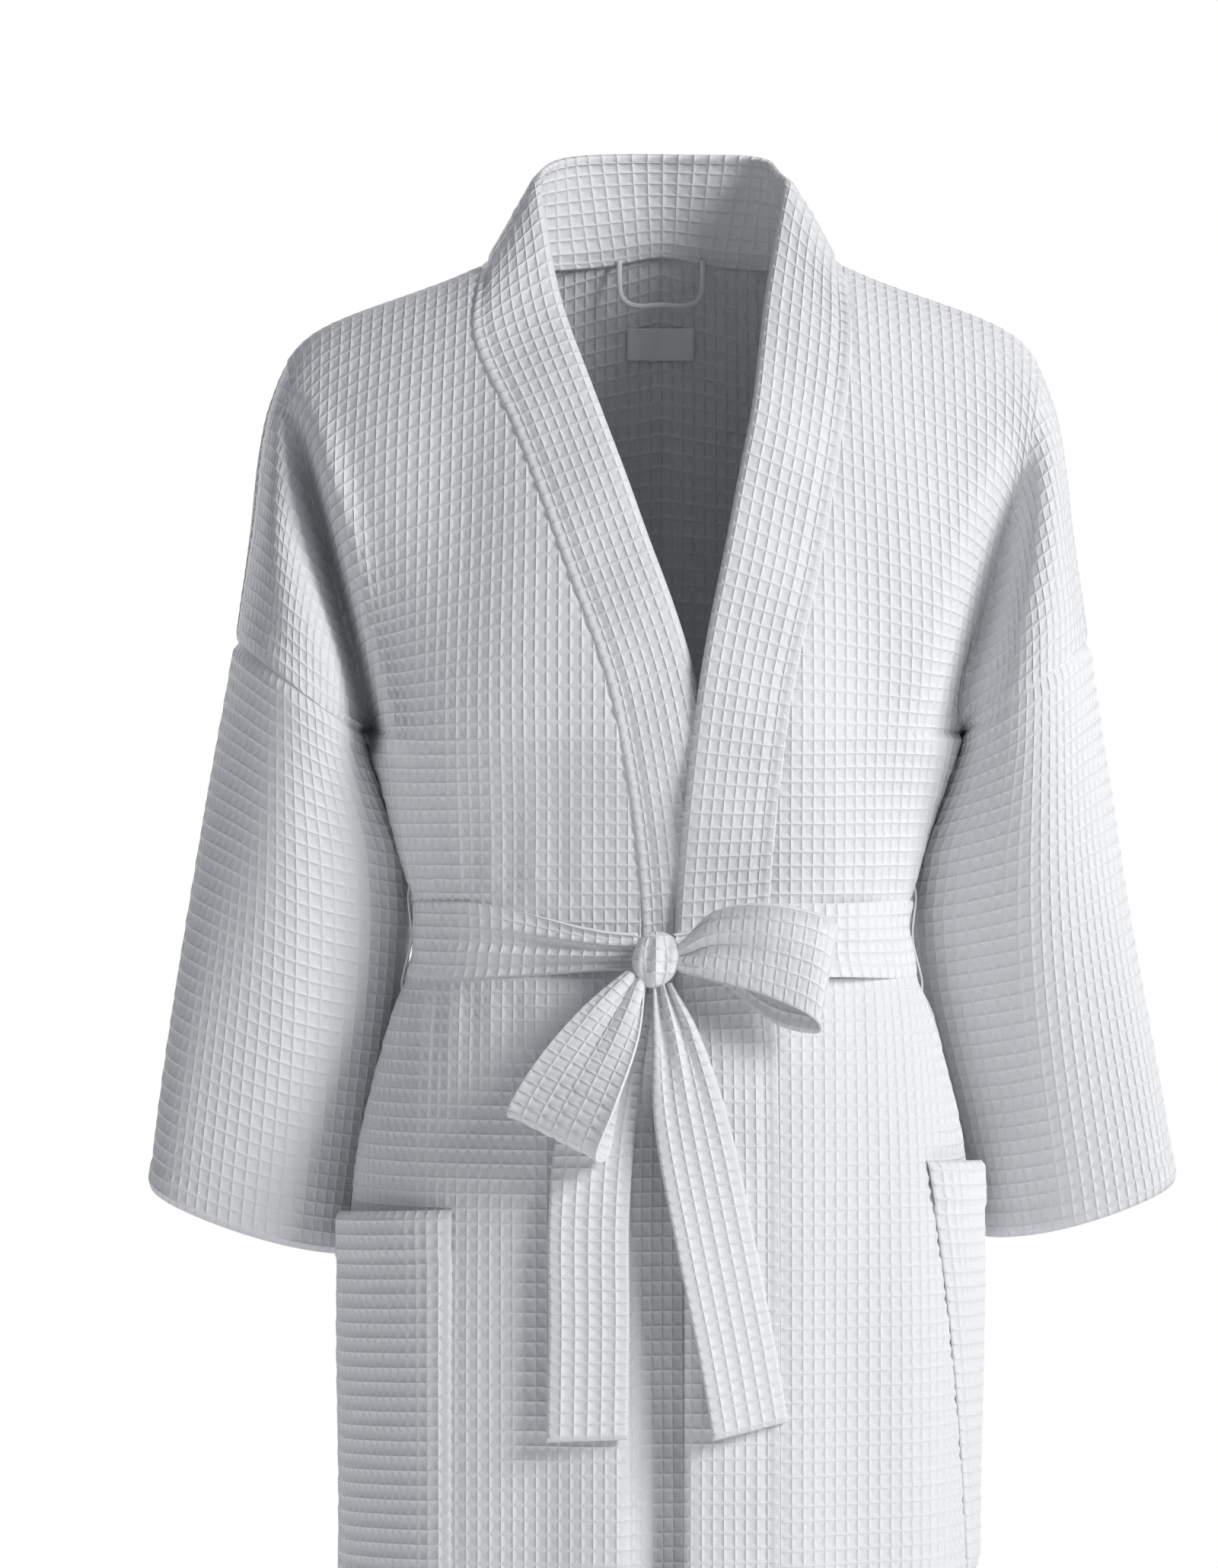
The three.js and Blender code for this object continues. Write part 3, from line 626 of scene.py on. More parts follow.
def frontLines(side, band, lifted):
    h, _ = columnHeights(side, -1, waffle["measuredAt"], 0.004)
    around = np.interp(h, heights, seams[side])
    seam = clothPoint(side, -1, h, around)
    normal = clothNormal(side, -1, h, around)
    edge = np.empty_like(seam)
    stationZ = [s[1] for s in band["seam"]]
    onCloth = seam[:, 2] <= stationZ[-1]
    target = stationCurve(seam[onCloth, 2], stationZ, band["edge"])
    height, spot = placeOn(side, -1, target[:, 0], target[:, 1])
    edge[onCloth] = clothPoint(side, -1, height, spot)
    edge[onCloth, 0] = target[:, 0]
    ends = np.array(band["edge"][-2:])
    height, spot = placeOn(side, -1, ends[:, 0], ends[:, 1])
    fixed = clothPoint(side, -1, height, spot)
    fixed[:, 0] = ends[:, 0]
    keys = [stationZ[-2], stationZ[-1], collarbone["seam"][1], seam[-1, 2]]
    edge[~onCloth] = stationCurve(seam[~onCloth, 2], keys, [*fixed, collarbone["edge"], neckEdge[0]])
    if lifted:
        seam, edge = raised(seam), raised(edge)
    return seam, edge, normal


def neckLines():
    share = np.linspace(1, 0, 60)
    cut = neckCut(share * neckRound)
    around = rowLength("left", 1, cut) * share * neckRound
    seam = clothPoint("left", 1, cut, around)
    normal = clothNormal("left", 1, cut, np.maximum(around, 1e-5))
    rail = splineThrough(np.array([neckEdge]), 60)[0]
    edge = rail[np.linspace(0, len(rail) - 1, 60).astype(int)]
    return seam, edge, normal


def smoothed(line):
    return np.concatenate([line[:1], (line[:-2] + 2 * line[1:-1] + line[2:]) / 4, line[-1:]])


def wholeBand():
    facts = bandSettings
    right = [mirrored(a) for a in frontLines("right", underBand, False)]
    neck = neckLines()
    left = frontLines("left", topBand, True)
    rightNeck, leftNeck = [mirrored(a)[1:] for a in neck], [a[::-1][1:] for a in neck]
    parts = [right, rightNeck, leftNeck, [a[::-1][1:] for a in left]]
    seam, edge, normal = (np.concatenate([part[k] for part in parts]) for k in range(3))
    cum = lengthsAlong((seam + edge) / 2)
    at = np.linspace(0, cum[-1], int(cum[-1] / (waffle["tall"] / 2)) + 1)
    seam, edge, normal = (resampled(line, cum, at) for line in (seam, edge, normal))
    normal = unit(normal)
    for _ in range(12):
        seam[:, 1:], edge = smoothed(seam)[:, 1:], smoothed(edge)
    columns = 2 * facts["cells"] + 7
    across = np.linspace(0, 1, columns)
    width = np.linalg.norm(edge - seam, axis=1).mean()
    share = mix(facts["over"], 1.0, across)[None, :, None]
    bow = facts["roll"] * 4 * share * (1 - share)
    base = seam[:, None] * (1 - share) + edge[:, None] * share + normal[:, None] * bow
    n = gridNormals(base)
    if (n[20, columns // 2] * normal[20]).sum() < 0:
        n = -n
    fromSeam = np.broadcast_to(across[None, :] * width, base.shape[:2])
    along = np.broadcast_to(at[:, None], base.shape[:2])
    strip = facts["strip"]
    body = edgeMask(fromSeam, strip, strip + 0.0015) * edgeMask(width - fromSeam, 0.002, 0.005)
    cellsAcross = (fromSeam - strip) / (width - strip - 0.004) * facts["cells"]
    bump = waffle["high"] * ridges(cellsAcross * waffle["wide"], along) * body
    welt = facts["welt"] * np.abs(np.sin(2 * math.pi * np.clip(fromSeam / strip, 0, 1))) ** 0.7
    curl = -facts["edgeCurl"] * (1 - ease((width - fromSeam) / 0.0045))
    curl = curl - facts["seamCurl"] * (1 - ease(fromSeam / 0.0016))
    groove = -facts["groove"] * lineAt(fromSeam, strip + 0.0004, 0.0010)
    wave = np.sin(at / facts["rippleLong"] * 2 * math.pi)[:, None]
    ripple = facts["ripple"] * wave * ease((fromSeam - strip) / 0.03)
    off = facts["stand"] + bump + welt + curl + groove + ripple
    q = base + n * off[..., None]
    under = (np.arange(len(q)) < len(q) * 0.45)[:, None] * ease((beltLow - 0.01 - q[..., 2]) / 0.06)
    q[..., 1] += facts["sink"] * under * ease((q[..., 0] - facts["sinkFrom"]) / facts["sinkWide"])
    cells = np.stack([cellsAcross, along / waffle["tall"]], axis=-1)
    gridPiece("front_band", q, cells, facts["thick"], n)


wholeBand()
print("band laid")


# a sleeve: a tube round a curved rail, from just inside the armhole to the hem
def sleevePiece(side):
    shape = sleeveSettings[side]
    axis = np.array([armhole["alongZ"], 0, -armhole["alongX"]])
    axis = axis / np.linalg.norm(axis)
    top = np.array([armhole["x"], 0, armhole["z"]]) + axis * sleeveSettings["gap"]
    guides = np.array([[top, sleeveSettings["middle"], shape["centre"]]])
    rail, length = evenly(splineThrough(guides, 80), 200)
    rail, length = rail[0], float(length[0])
    perCell = waffle["perCell"]
    rows = int(round(length / (waffle["tall"] / perCell)))
    tucked = np.linspace(-sleeveSettings["tuck"] / length, 0, 4)[:-1]
    share = np.concatenate([tucked, np.linspace(0, 1, rows + 1)])
    turn = np.linspace(0, 1, sleeveSettings["aroundCells"] * perCell + 1)
    middle = resampled(rail, np.linspace(0, 1, 200), share)
    middle -= axis * np.minimum(share, 0)[:, None] * -length
    rows = len(share) - 1
    spread = np.sin(np.maximum(share, 0) * math.pi / 2)[:, None]
    out = mix(np.array([armhole["alongX"], 0, armhole["alongZ"]]), np.array(shape["outward"]), spread)
    back = mix(np.array([0, armhole["depth"], 0]), np.array(shape["backward"]), spread)
    angle = 2 * math.pi * turn
    base = middle[:, None] + out[:, None] * np.cos(angle)[None, :, None]
    base = base + back[:, None] * np.sin(angle)[None, :, None]
    inner = np.maximum(0, -np.cos(angle))[None, :] ** 1.3
    pull = np.interp(base[..., 2], sleeveSettings["inward"]["levels"], sleeveSettings["inward"][side])
    base[..., 0] -= pull * inner
    base[..., 1] += pull * inner * sleeveSettings["behind"]
    n = gridNormals(base, closed=True)
    if (n[rows // 2, 0] * out[rows // 2]).sum() < 0:
        n = -n
    down = np.broadcast_to((share * length)[:, None], base.shape[:2])
    turned = np.broadcast_to(turn[None, :], base.shape[:2])
    fromHem = length - down
    top = edgeMask(down, 0.0, 0.003)
    bump = waffle["high"] * ridges(turned * sleeveSettings["aroundCells"] * waffle["wide"], down)
    bump = bump * top * edgeMask(fromHem, 0.0, 0.002)
    groove = -sleeveSettings["groove"] * lineAt(fromHem, sleeveSettings["hem"], 0.0012)
    hemStand = sleeveSettings["stand"] * (1 - ease((fromHem - sleeveSettings["hem"]) / 0.002))
    amount = sleeveSettings["folds"][side] * ease(down / 0.12)
    wave = np.sin(2 * math.pi * (3 * turned + 0.10 * np.sin(down * 14)))
    wave = wave + 0.5 * np.sin(2 * math.pi * (5 * turned + 0.3 + 0.25 * down / length))
    tucked = -sleeveSettings["tucked"] * ease((0.0015 - down) / 0.0035)
    off = waffle["base"] - 0.0004 * (1 - top) + tucked + bump + groove + hemStand + amount * wave
    q = base + n * off[..., None]
    if side == "right":
        q, n = mirrored(q), mirrored(n)
    cells = np.stack([turned * sleeveSettings["aroundCells"], down / waffle["tall"]], axis=-1)
    gridPiece(side + "_sleeve_cloth", q, cells, waffle["thick"], n)


for side in ("left", "right"):
    sleevePiece(side)
print("sleeves laid")

# pockets
pocketSettings = {
    "tall": 0.272,
    "mouth": 0.008,
    "hem": 0.031,
    "border": 0.0055,
    "groove": 0.0011,
    "thick": 0.0022,
    "left": {"around": 0.179, "wide": 0.140, "top": -0.560, "lean": 0.22, "fall": 0.06},
    "right": {"around": 0.137, "wide": 0.150, "top": -0.590, "lean": 0.0, "fall": 0.06},
}


def pocketPiece(side, lifted):
    shape, tall = pocketSettings[side], pocketSettings["tall"]
    perCell = waffle["perCell"] + 1
    rows = int(round(tall / (waffle["tall"] / perCell)))
    columns = int(round(shape["wide"] / (waffle["wide"] / perCell)))
    up, across = np.linspace(0, 1, rows + 1)[:, None], np.linspace(0, 1, columns + 1)[None, :]
    drop = tall * (1 - up) + shape["fall"] * shape["wide"] * across
    z = shape["top"] - drop
    height = heightOf(z)
    lean = shape["lean"] * tall * (1 - up) * (1 - 0.5 * across)
    around = shape["around"] + lean + shape["wide"] * across
    p, n = clothPoint(side, -1, height, around), clothNormal(side, -1, height, around)
    length = rowLength(side, -1, height)
    low = np.interp(height, heights, seams[side])
    high = length + driftAt(height)
    fold = foldsAt(side, -1, z, around) * edgeMask(around - low, 0.0, panelEdges["calmSeam"])
    fold = fold * edgeMask(high - around, 0.0, panelEdges["calmSide"])
    gape = pocketSettings["mouth"] * np.sin(math.pi * across) ** 0.8 * up**1.5
    fromSide = np.minimum(across, 1 - across) * shape["wide"]
    fromFoot, fromTop = up * tall, (1 - up) * tall
    fromEdge = np.minimum(fromSide, fromFoot)
    wide, hemDeep = pocketSettings["border"], pocketSettings["hem"]
    border = 1 - edgeMask(fromEdge, 0.004, wide)
    top = 1 - edgeMask(fromTop, hemDeep, hemDeep + 0.0015)
    body = (1 - border) * edgeMask(fromTop, 0.0015, 0.004)
    upCloth, acrossCloth = np.broadcast_arrays(up * tall, across * shape["wide"])
    bump = waffle["high"] * ridges(acrossCloth, upCloth) * body
    welt = 0.0011 * np.sin(math.pi * np.clip(fromEdge / wide, 0, 1)) ** 0.7 * border
    groove = -pocketSettings["groove"] * lineAt(fromTop, hemDeep, 0.0011)
    groove = groove - 0.0007 * lineAt(fromEdge, wide + 0.0003, 0.0009)
    seat = 0.0030 + 0.0016 * ease(fromEdge / 0.012)
    roll = -0.0012 * (1 - ease(fromTop / 0.003))
    off = fold + seat + gape + bump + welt + groove + 0.0012 * top + roll
    q = p + n * off[..., None]
    if lifted:
        q = raised(q)
    if side == "right":
        q, n = mirrored(q), mirrored(n)
    cells = np.stack([acrossCloth / waffle["wide"], upCloth / waffle["tall"]], axis=-1)
    gridPiece(side + "_pocket_cloth", q, cells, pocketSettings["thick"], n)


pocketPiece("left", True)
pocketPiece("right", False)
print("pockets laid")

# sash: wrap, knot, loops and ends
sash = {
    "wide": 0.052,
    "stand": 0.0038,
    "ride": 0.0100,  # how far it stands out over the bands, and where that starts and ends
    "bump": (-0.090, -0.024, 0.100, 0.160),
    "thick": 0.0024,
    "cell": 0.0078,
    "narrow": 0.022,  # its height at the knot
    "curl": 0.0010,
    "pleat": 0.0021,
    "wave": 0.0010,
}
knotLow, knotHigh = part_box("belt_knot")
knotSpot = np.array([(knotLow[k] + knotHigh[k]) / 2 for k in range(3)])
knotRadius = (knotHigh.x - knotLow.x) / 2


def halfRound(height):
    return rowLength("left", -1, height) + rowLength("left", 1, height)


# the sash round the waist, from one side of the knot to the other
def wrapPiece():
    whole = 2 * halfRound(np.array(heightOf(beltLevel)))
    clear = knotRadius * 0.66
    first, last = knotSpot[0] + clear, whole + knotSpot[0] - clear
    columns, rows = 420, 20
    around = np.linspace(first, last, columns + 1)[None, :]
    up = np.linspace(0, 1, rows + 1)[:, None]
    narrow = ease(np.maximum(1 - (around - first) / 0.060, 1 - (last - around) / 0.120))
    tall = mix(sash["wide"], sash["narrow"], narrow)
    z = mix(beltLevel, knotSpot[2] + 0.004, narrow) + tall * (up - 0.5)
    height = heightOf(z)
    share = np.broadcast_to(around / whole, z.shape)
    flip = np.where(share > 0.5, -1.0, 1.0)
    at = 2 * halfRound(height) * np.minimum(share, 1 - share)
    p, n = clothPoint("left", -1, height, at), clothNormal("left", -1, height, np.maximum(at, 1e-5))
    p[..., 0] *= flip
    n[..., 0] *= flip
    b = sash["bump"]
    over = edgeMask(p[..., 0], b[0], b[1]) * (1 - edgeMask(p[..., 0], b[2], b[3]))
    ride = sash["ride"] * over * (p[..., 1] < 0)
    gather = ease(np.maximum(1 - (around - first) / 0.11, 1 - (last - around) / 0.19))
    pleat = sash["pleat"] * gather * np.cos(2 * math.pi * (up * 2.6 + 0.15))
    pleat = pleat + sash["wave"] * (1 - gather) * np.sin(2 * math.pi * (up * 1.3 + around * 4))
    fromEdge = np.minimum(up, 1 - up) * tall
    rise, course = np.broadcast_arrays(up * sash["wide"], around)
    bump = 0.8 * waffle["high"] * ridges(course, rise, sash["cell"], sash["wide"] / 6)
    bump = bump * (1 - 0.7 * gather) * edgeMask(fromEdge, 0.001, 0.004)
    curl = -sash["curl"] * (1 - ease(fromEdge / 0.003))
    off = sash["stand"] + ride + pleat + bump + curl
    q = p + n * off[..., None]
    cells = np.stack([course / sash["cell"], rise / (sash["wide"] / 6)], axis=-1)
    gridPiece("sash_wrap", q, cells, sash["thick"], n)


wrapPiece()


def fromKnot(*offset):
    return knotSpot + np.array(offset)


ribbonSettings = {
    "fine": 400,
    "columns": 20,
    "lift": 0.0004,
    "curl": 0.0009,
    "endCurl": 0.0010,
    "border": 0.0055,
    "line": 0.0008,
    "endLine": 0.0009,
    "endHem": 0.0095,
}


# a strip of the sash along a smooth path; each station is a point, a width and the strip's cross direction
def ribbonPiece(name, stations, hemmed=False, gatherReach=0.06, pleats=2.5, pleatHigh=0.0035):
    facts = ribbonSettings
    fine = facts["fine"]
    raw = splineThrough(np.array([s[0] for s in stations])[None], 60)
    path, length = evenly(raw, fine)
    length = float(length[0])
    marks = lengthsAlong(raw[0])[np.arange(len(stations)) * 60]
    at = np.linspace(0, length, fine)
    widths = stationCurve(at, marks, [s[1] for s in stations])
    cross = unit(stationCurve(at, marks, [s[2] for s in stations]))
    rows = int(round(length / (sash["cell"] / 3)))
    pick = np.linspace(0, fine - 1, rows + 1)
    path, cross, widths = (resampled(a, np.arange(fine), pick) for a in (path[0], cross, widths))
    side = np.linspace(-0.5, 0.5, facts["columns"] + 1)[None, :, None]
    base = path[:, None] + unit(cross)[:, None] * widths[:, None] * side
    n = gridNormals(base) * (-1 if hemmed else 1)
    along = np.broadcast_to(np.linspace(0, length, rows + 1)[:, None], base.shape[:2])
    across = np.broadcast_to(side[..., 0], base.shape[:2])
    gather = np.exp(-(((along if hemmed else np.minimum(along, length - along)) / gatherReach) ** 2))
    fromEdge, fromEnd = (0.5 - np.abs(across)) * widths, length - along
    calm = edgeMask(fromEdge, 0.0008, 0.004) * (edgeMask(fromEnd, 0.001, 0.004) if hemmed else 1)
    weave = ridges((across + 0.5) * sash["wide"], along, sash["wide"] / 6, sash["cell"])
    bump = 0.85 * waffle["high"] * weave * calm * (1 - 0.6 * gather)
    pleat = pleatHigh * gather * np.cos(2 * math.pi * pleats * across + 0.6) * (1 - np.abs(across) * 0.6)
    line = -facts["line"] * lineAt(fromEdge, facts["border"], 0.0009)
    curl = -facts["curl"] * (1 - ease(fromEdge / 0.003))
    if hemmed:
        line = np.where(fromEnd > facts["border"], line, 0)
        line = line - facts["endLine"] * lineAt(fromEnd, facts["endHem"], 0.0010)
        curl = curl - facts["endCurl"] * (1 - ease(fromEnd / 0.003))
    off = bump + pleat + line + curl + facts["lift"]
    cells = np.stack([(across + 0.5) * 6, along / sash["cell"]], axis=-1)
    gridPiece(name, base + n * off[..., None], cells, sash["thick"], n)


reach = knotRadius
leftTailPath = [
    (fromKnot(0.0045, -0.003, -reach * 0.90), 0.013, (1, 0, 0)),
    (fromKnot(0.012, -0.007, -0.045), 0.029, (1, 0, 0.1)),
    (fromKnot(0.022, -0.012, -0.100), 0.047, (1, 0.06, 0.12)),
    (fromKnot(0.038, -0.016, -0.180), 0.052, (1, 0.26, 0.14)),
    (fromKnot(0.052, -0.019, -0.250), 0.052, (1, 0.32, 0.2)),
    (fromKnot(0.061, -0.020, -0.301), 0.052, (1, 0.32, 0.22)),
]
rightTailPath = [
    (fromKnot(-0.008, 0.005, -reach * 0.86), 0.013, (1, 0, 0)),
    (fromKnot(-0.022, 0.006, -0.050), 0.034, (1, 0, 0)),
    (fromKnot(-0.038, 0.002, -0.110), 0.050, (1, 0, 0)),
    (fromKnot(-0.043, -0.007, -0.165), 0.052, (1, 0, 0)),
    (fromKnot(-0.043, -0.011, -0.235), 0.052, (1, 0, 0)),
    (fromKnot(-0.044, -0.012, -0.308), 0.052, (1, 0, 0.03)),
]
leftLoopPath = [
    (fromKnot(reach * 0.86, -0.005, 0.003), 0.015, (0, 0, 1)),
    (fromKnot(0.036, -0.019, 0.010), 0.046, (0.1, -0.2, 1)),
    (fromKnot(0.074, -0.028, 0.007), 0.062, (0.1, -0.3, 1)),
    (fromKnot(0.106, -0.022, -0.005), 0.066, (0.16, -0.15, 1)),
    (fromKnot(0.109, -0.009, -0.014), 0.066, (0.16, 0.1, 1)),
    (fromKnot(0.080, 0.001, -0.012), 0.060, (0.1, 0.2, 1)),
    (fromKnot(0.044, 0.002, 0.000), 0.034, (0, 0, 1)),
    (fromKnot(reach * 0.9, 0.002, 0.001), 0.014, (0, 0, 1)),
]
rightLoopPath = [
    (fromKnot(-0.012, -0.007, -0.0115), 0.014, (1, 0, -0.6)),
    (fromKnot(-0.030, -0.021, -0.042), 0.044, (1, -0.3, -0.55)),
    (fromKnot(-0.052, -0.032, -0.080), 0.062, (1, -0.35, -0.5)),
    (fromKnot(-0.066, -0.026, -0.110), 0.066, (1, -0.2, -0.5)),
    (fromKnot(-0.060, -0.012, -0.112), 0.066, (1, 0.1, -0.5)),
    (fromKnot(-0.050, -0.005, -0.086), 0.058, (1, 0.2, -0.5)),
    (fromKnot(-0.034, -0.003, -0.050), 0.036, (1, 0, -0.55)),
    (fromKnot(-0.012, -0.001, -0.0115), 0.013, (1, 0, -0.6)),
]
ribbonPiece("left_sash_end", leftTailPath, hemmed=True)
ribbonPiece("right_sash_end", rightTailPath, hemmed=True)
ribbonPiece("left_sash_loop", leftLoopPath, gatherReach=0.045, pleats=2.0, pleatHigh=0.0030)
ribbonPiece("right_sash_loop", rightLoopPath, gatherReach=0.045, pleats=2.0, pleatHigh=0.0030)


knotSettings = {"half": (0.0150, 0.0160, 0.0185), "creaseWide": 0.0125, "crease": 0.10, "tilt": 0.30}


# the tied cloth: an upright lump, pulled in at top and foot, with pleats over it
def knotPiece():
    bm = bmesh.new()
    bmesh.ops.create_uvsphere(bm, u_segments=72, v_segments=44, radius=1.0)
    uv = bm.loops.layers.uv.new("cells")
    facts, centre = knotSettings, Vector([float(c) for c in knotSpot])
    turn = facts["tilt"]
    for v in bm.verts:
        x, y, z = v.co
        square = [math.copysign(abs(c) ** 0.8, c) for c in (x, y, z)]
        wide = square[0] * facts["half"][0] * (1 - 0.20 * z * z + 0.10 * z)
        deep = square[1] * facts["half"][1]
        tall = square[2] * facts["half"][2]
        crease = math.cos(2 * math.pi * (wide + 0.18 * tall) / facts["creaseWide"])
        deep *= 1 + facts["crease"] * crease * (1 - abs(z) ** 4)
        leant = wide * math.cos(turn) + tall * math.sin(turn)
        raisedTo = tall * math.cos(turn) - wide * math.sin(turn)
        v.co = Vector((leant, deep, raisedTo))
        v.co += centre
    for face in bm.faces:
        for loop in face.loops:
            d = loop.vert.co - centre
            loop[uv].uv = (math.atan2(d.x, -d.y) * 0.016 / sash["cell"], d.z / sash["cell"])
    mesh = bpy.data.meshes.new("sash_knot")
    bm.to_mesh(mesh)
    bm.free()
    mesh.polygons.foreach_set("use_smooth", np.ones(len(mesh.polygons), bool))
    made["sash_knot"] = linked("sash_knot", mesh)


knotPiece()
print("sash tied")

# the small pieces: carriers, hanging loop and label
carrierSettings = {
    "half": 0.0045,
    "thick": 0.0014,
    "thread": 0.0015,
    "stand": [0.0022, 0.0052, 0.0062, 0.0064, 0.0062, 0.0052, 0.0022],  # foot to top, bowed over the sash
}


def carrierPiece(side):
    low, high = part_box(side + "_belt_carrier")
    foot, top = [low.z, beltLow - 0.002, beltLow + 0.004], [beltHigh - 0.004, beltHigh + 0.002, high.z]
    z = np.array([*foot, beltLevel, *top])
    out = girthAt(z, "half") + np.array(carrierSettings["stand"])
    path = splineThrough(np.stack([out, 0 * z, z], axis=1)[None], 12)[0]
    across = np.linspace(-carrierSettings["half"], carrierSettings["half"], 7)
    points = path[:, None] + np.array([0, 1, 0])[None, None] * across[None, :, None]
    n = gridNormals(points)
    if n[len(n) // 2, 3, 0] < 0:
        n = -n
    if side == "right":
        points, n = mirrored(points), mirrored(n)
    along, over = np.broadcast_arrays(np.arange(len(points))[:, None] * 0.001, across[None, :])
    cells = np.stack([over, along], axis=-1) / carrierSettings["thread"]
    gridPiece(side + "_carrier_strip", points, cells, carrierSettings["thick"], n, weld=0.00005)


for side in ("left", "right"):
    carrierPiece(side)

hangLoopSettings = {
    "inset": 0.0020, "halfWide": 0.0018, "halfThick": 0.0012,
    "corner": (0.002, 0.009, 0.005)
}


# a flat tape bent to a square loop, hanging from the neck seam
def hangLoopPiece():
    facts = hangLoopSettings
    low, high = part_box("hang_loop")
    y = (low.y + high.y) / 2
    xs, zTop, zLow = high.x - facts["inset"], high.z, low.z + facts["inset"]
    inner, outer, rise = facts["corner"]
    half = [(xs, zTop), (xs, mix(zLow, zTop, 0.5)), (xs - inner, zLow + rise), (xs - outer, zLow)]
    stations = [(-x, z) for x, z in half] + [(0, zLow)] + half[::-1]
    path, _ = evenly(splineThrough(np.array([[(x, y, z) for x, z in stations]]), 16), 90)
    path = path[0]
    forward = np.array([0, 1.0, 0])
    side = np.cross(unit(np.gradient(path, axis=0)), forward)
    turn = np.linspace(0, 2 * math.pi, 13)
    ring = side[:, None] * (facts["halfWide"] * np.cos(turn))[None, :, None]
    ring = ring + forward * (facts["halfThick"] * np.sin(turn))[None, :, None]
    points = path[:, None] + ring
    along, around = np.broadcast_arrays(np.arange(len(points))[:, None] * 1.0, turn[None, :])
    cells = np.stack([around / 0.6, along], axis=-1)
    piece = gridPiece("neck_hang_loop", points, cells, 0, unit(ring), weld=0.00005)
    bm = bmesh.new()
    bm.from_mesh(piece.data)
    bmesh.ops.holes_fill(bm, edges=[e for e in bm.edges if e.is_boundary], sides=0)
    bm.to_mesh(piece.data)
    bm.free()


hangLoopPiece()

labelSettings = {"off": 0.0028, "thick": 0.0007, "thread": 0.001}


# a blank label, laid on the inside of the back
def labelPiece():
    low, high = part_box("neck_label")
    wide, tall = np.meshgrid(np.linspace(low.x, high.x, 25), np.linspace(low.z, high.z, 15))
    x = wide.ravel()
    height, around = placeOn("left", 1, x, tall.ravel())
    p = clothPoint("left", 1, height, around)
    n = clothNormal("left", 1, height, np.maximum(around, 1e-5))
    p[:, 0], n[:, 0] = x, n[:, 0] * np.sign(x)
    points = (p - n * labelSettings["off"]).reshape(*wide.shape, 3)
    cells = np.stack([wide, tall], axis=-1) / labelSettings["thread"]
    inside = -n.reshape(*wide.shape, 3)
    gridPiece("blank_neck_label", points, cells, labelSettings["thick"], inside, weld=0.00005)


labelPiece()
print("small pieces laid")

# finishes: small node groups first, then one material for each cloth
def setInputs(node, values):
    for socket, value in values.items():
        node.inputs[socket].default_value = value


# a node group, its start and its end; an input with no first value is a vector
def newGroup(name, inputs, outputs):
    group = bpy.data.node_groups.new(name, "ShaderNodeTree")
    for label, first in inputs.items():
        kind = "NodeSocketVector" if first is None else "NodeSocketFloat"
        socket = group.interface.new_socket(name=label, in_out="INPUT", socket_type=kind)
        if first is not None:
            socket.default_value = first
    for label in outputs:
        group.interface.new_socket(name=label, in_out="OUTPUT", socket_type="NodeSocketFloat")
    return group, group.nodes.new("NodeGroupInput"), group.nodes.new("NodeGroupOutput")


def mathNode(tree, operation, a, b=None, clamp=False):
    node = tree.nodes.new("ShaderNodeMath")
    node.operation = operation
    node.use_clamp = clamp
    for slot, value in enumerate((a, b)):
        if value is None:
            continue
        if isinstance(value, (int, float)):
            node.inputs[slot].default_value = value
        else:
            tree.links.new(value, node.inputs[slot])
    return node.outputs[0]


# threads over and under each other: height for the bump, and a lighter tint where they cross, a painted
# highlight on the thread crowns
def threadGroup():
    inputs = {"Cells": None, "Threads": 10.0, "Fuzz": 0.4}
    group, start, end = newGroup("crossedThreads", inputs, ["Height", "Tint"])
    split = group.nodes.new("ShaderNodeSeparateXYZ")
    group.links.new(start.outputs["Cells"], split.inputs[0])
    fuzz = group.nodes.new("ShaderNodeTexNoise")
    setInputs(fuzz, {"Scale": 9.0, "Detail": 5.0, "Roughness": 0.7})
    group.links.new(start.outputs["Cells"], fuzz.inputs["Vector"])
    loose = mathNode(group, "MULTIPLY", mathNode(group, "SUBTRACT", fuzz.outputs["Fac"], 0.5), 0.16)
    waves = []
    for axis in ("X", "Y"):
        moved = mathNode(group, "ADD", split.outputs[axis], loose)
        at = mathNode(group, "MULTIPLY", moved, start.outputs["Threads"])
        wave = mathNode(group, "SINE", mathNode(group, "MULTIPLY", at, math.pi))
        waves.append(mathNode(group, "ABSOLUTE", wave))
    crossing = mathNode(group, "MAXIMUM", waves[0], waves[1])
    hair = mathNode(group, "MULTIPLY", fuzz.outputs["Fac"], start.outputs["Fuzz"])
    group.links.new(mathNode(group, "ADD", crossing, hair), end.inputs["Height"])
    group.links.new(mathNode(group, "MULTIPLY", waves[0], waves[1]), end.inputs["Tint"])
    return group


# the waffle's grid from the cell coordinates: 1 on a ridge and 0 in a cell's middle; it sets the bump and the
# painted shade in the cells
def cellGroup():
    group, start, end = newGroup("waffleCells", {"Cells": None, "Sharpness": 3.0}, ["Ridge"])
    split = group.nodes.new("ShaderNodeSeparateXYZ")
    group.links.new(start.outputs["Cells"], split.inputs[0])
    sides = []
    for axis in ("X", "Y"):
        part = mathNode(group, "FRACT", split.outputs[axis])
        away = mathNode(group, "ABSOLUTE", mathNode(group, "SUBTRACT", part, 0.5))
        sides.append(mathNode(group, "MULTIPLY", away, 2.0))
    larger = mathNode(group, "MAXIMUM", sides[0], sides[1], True)
    ridge = mathNode(group, "POWER", larger, start.outputs["Sharpness"])
    group.links.new(ridge, end.inputs["Ridge"])
    return group


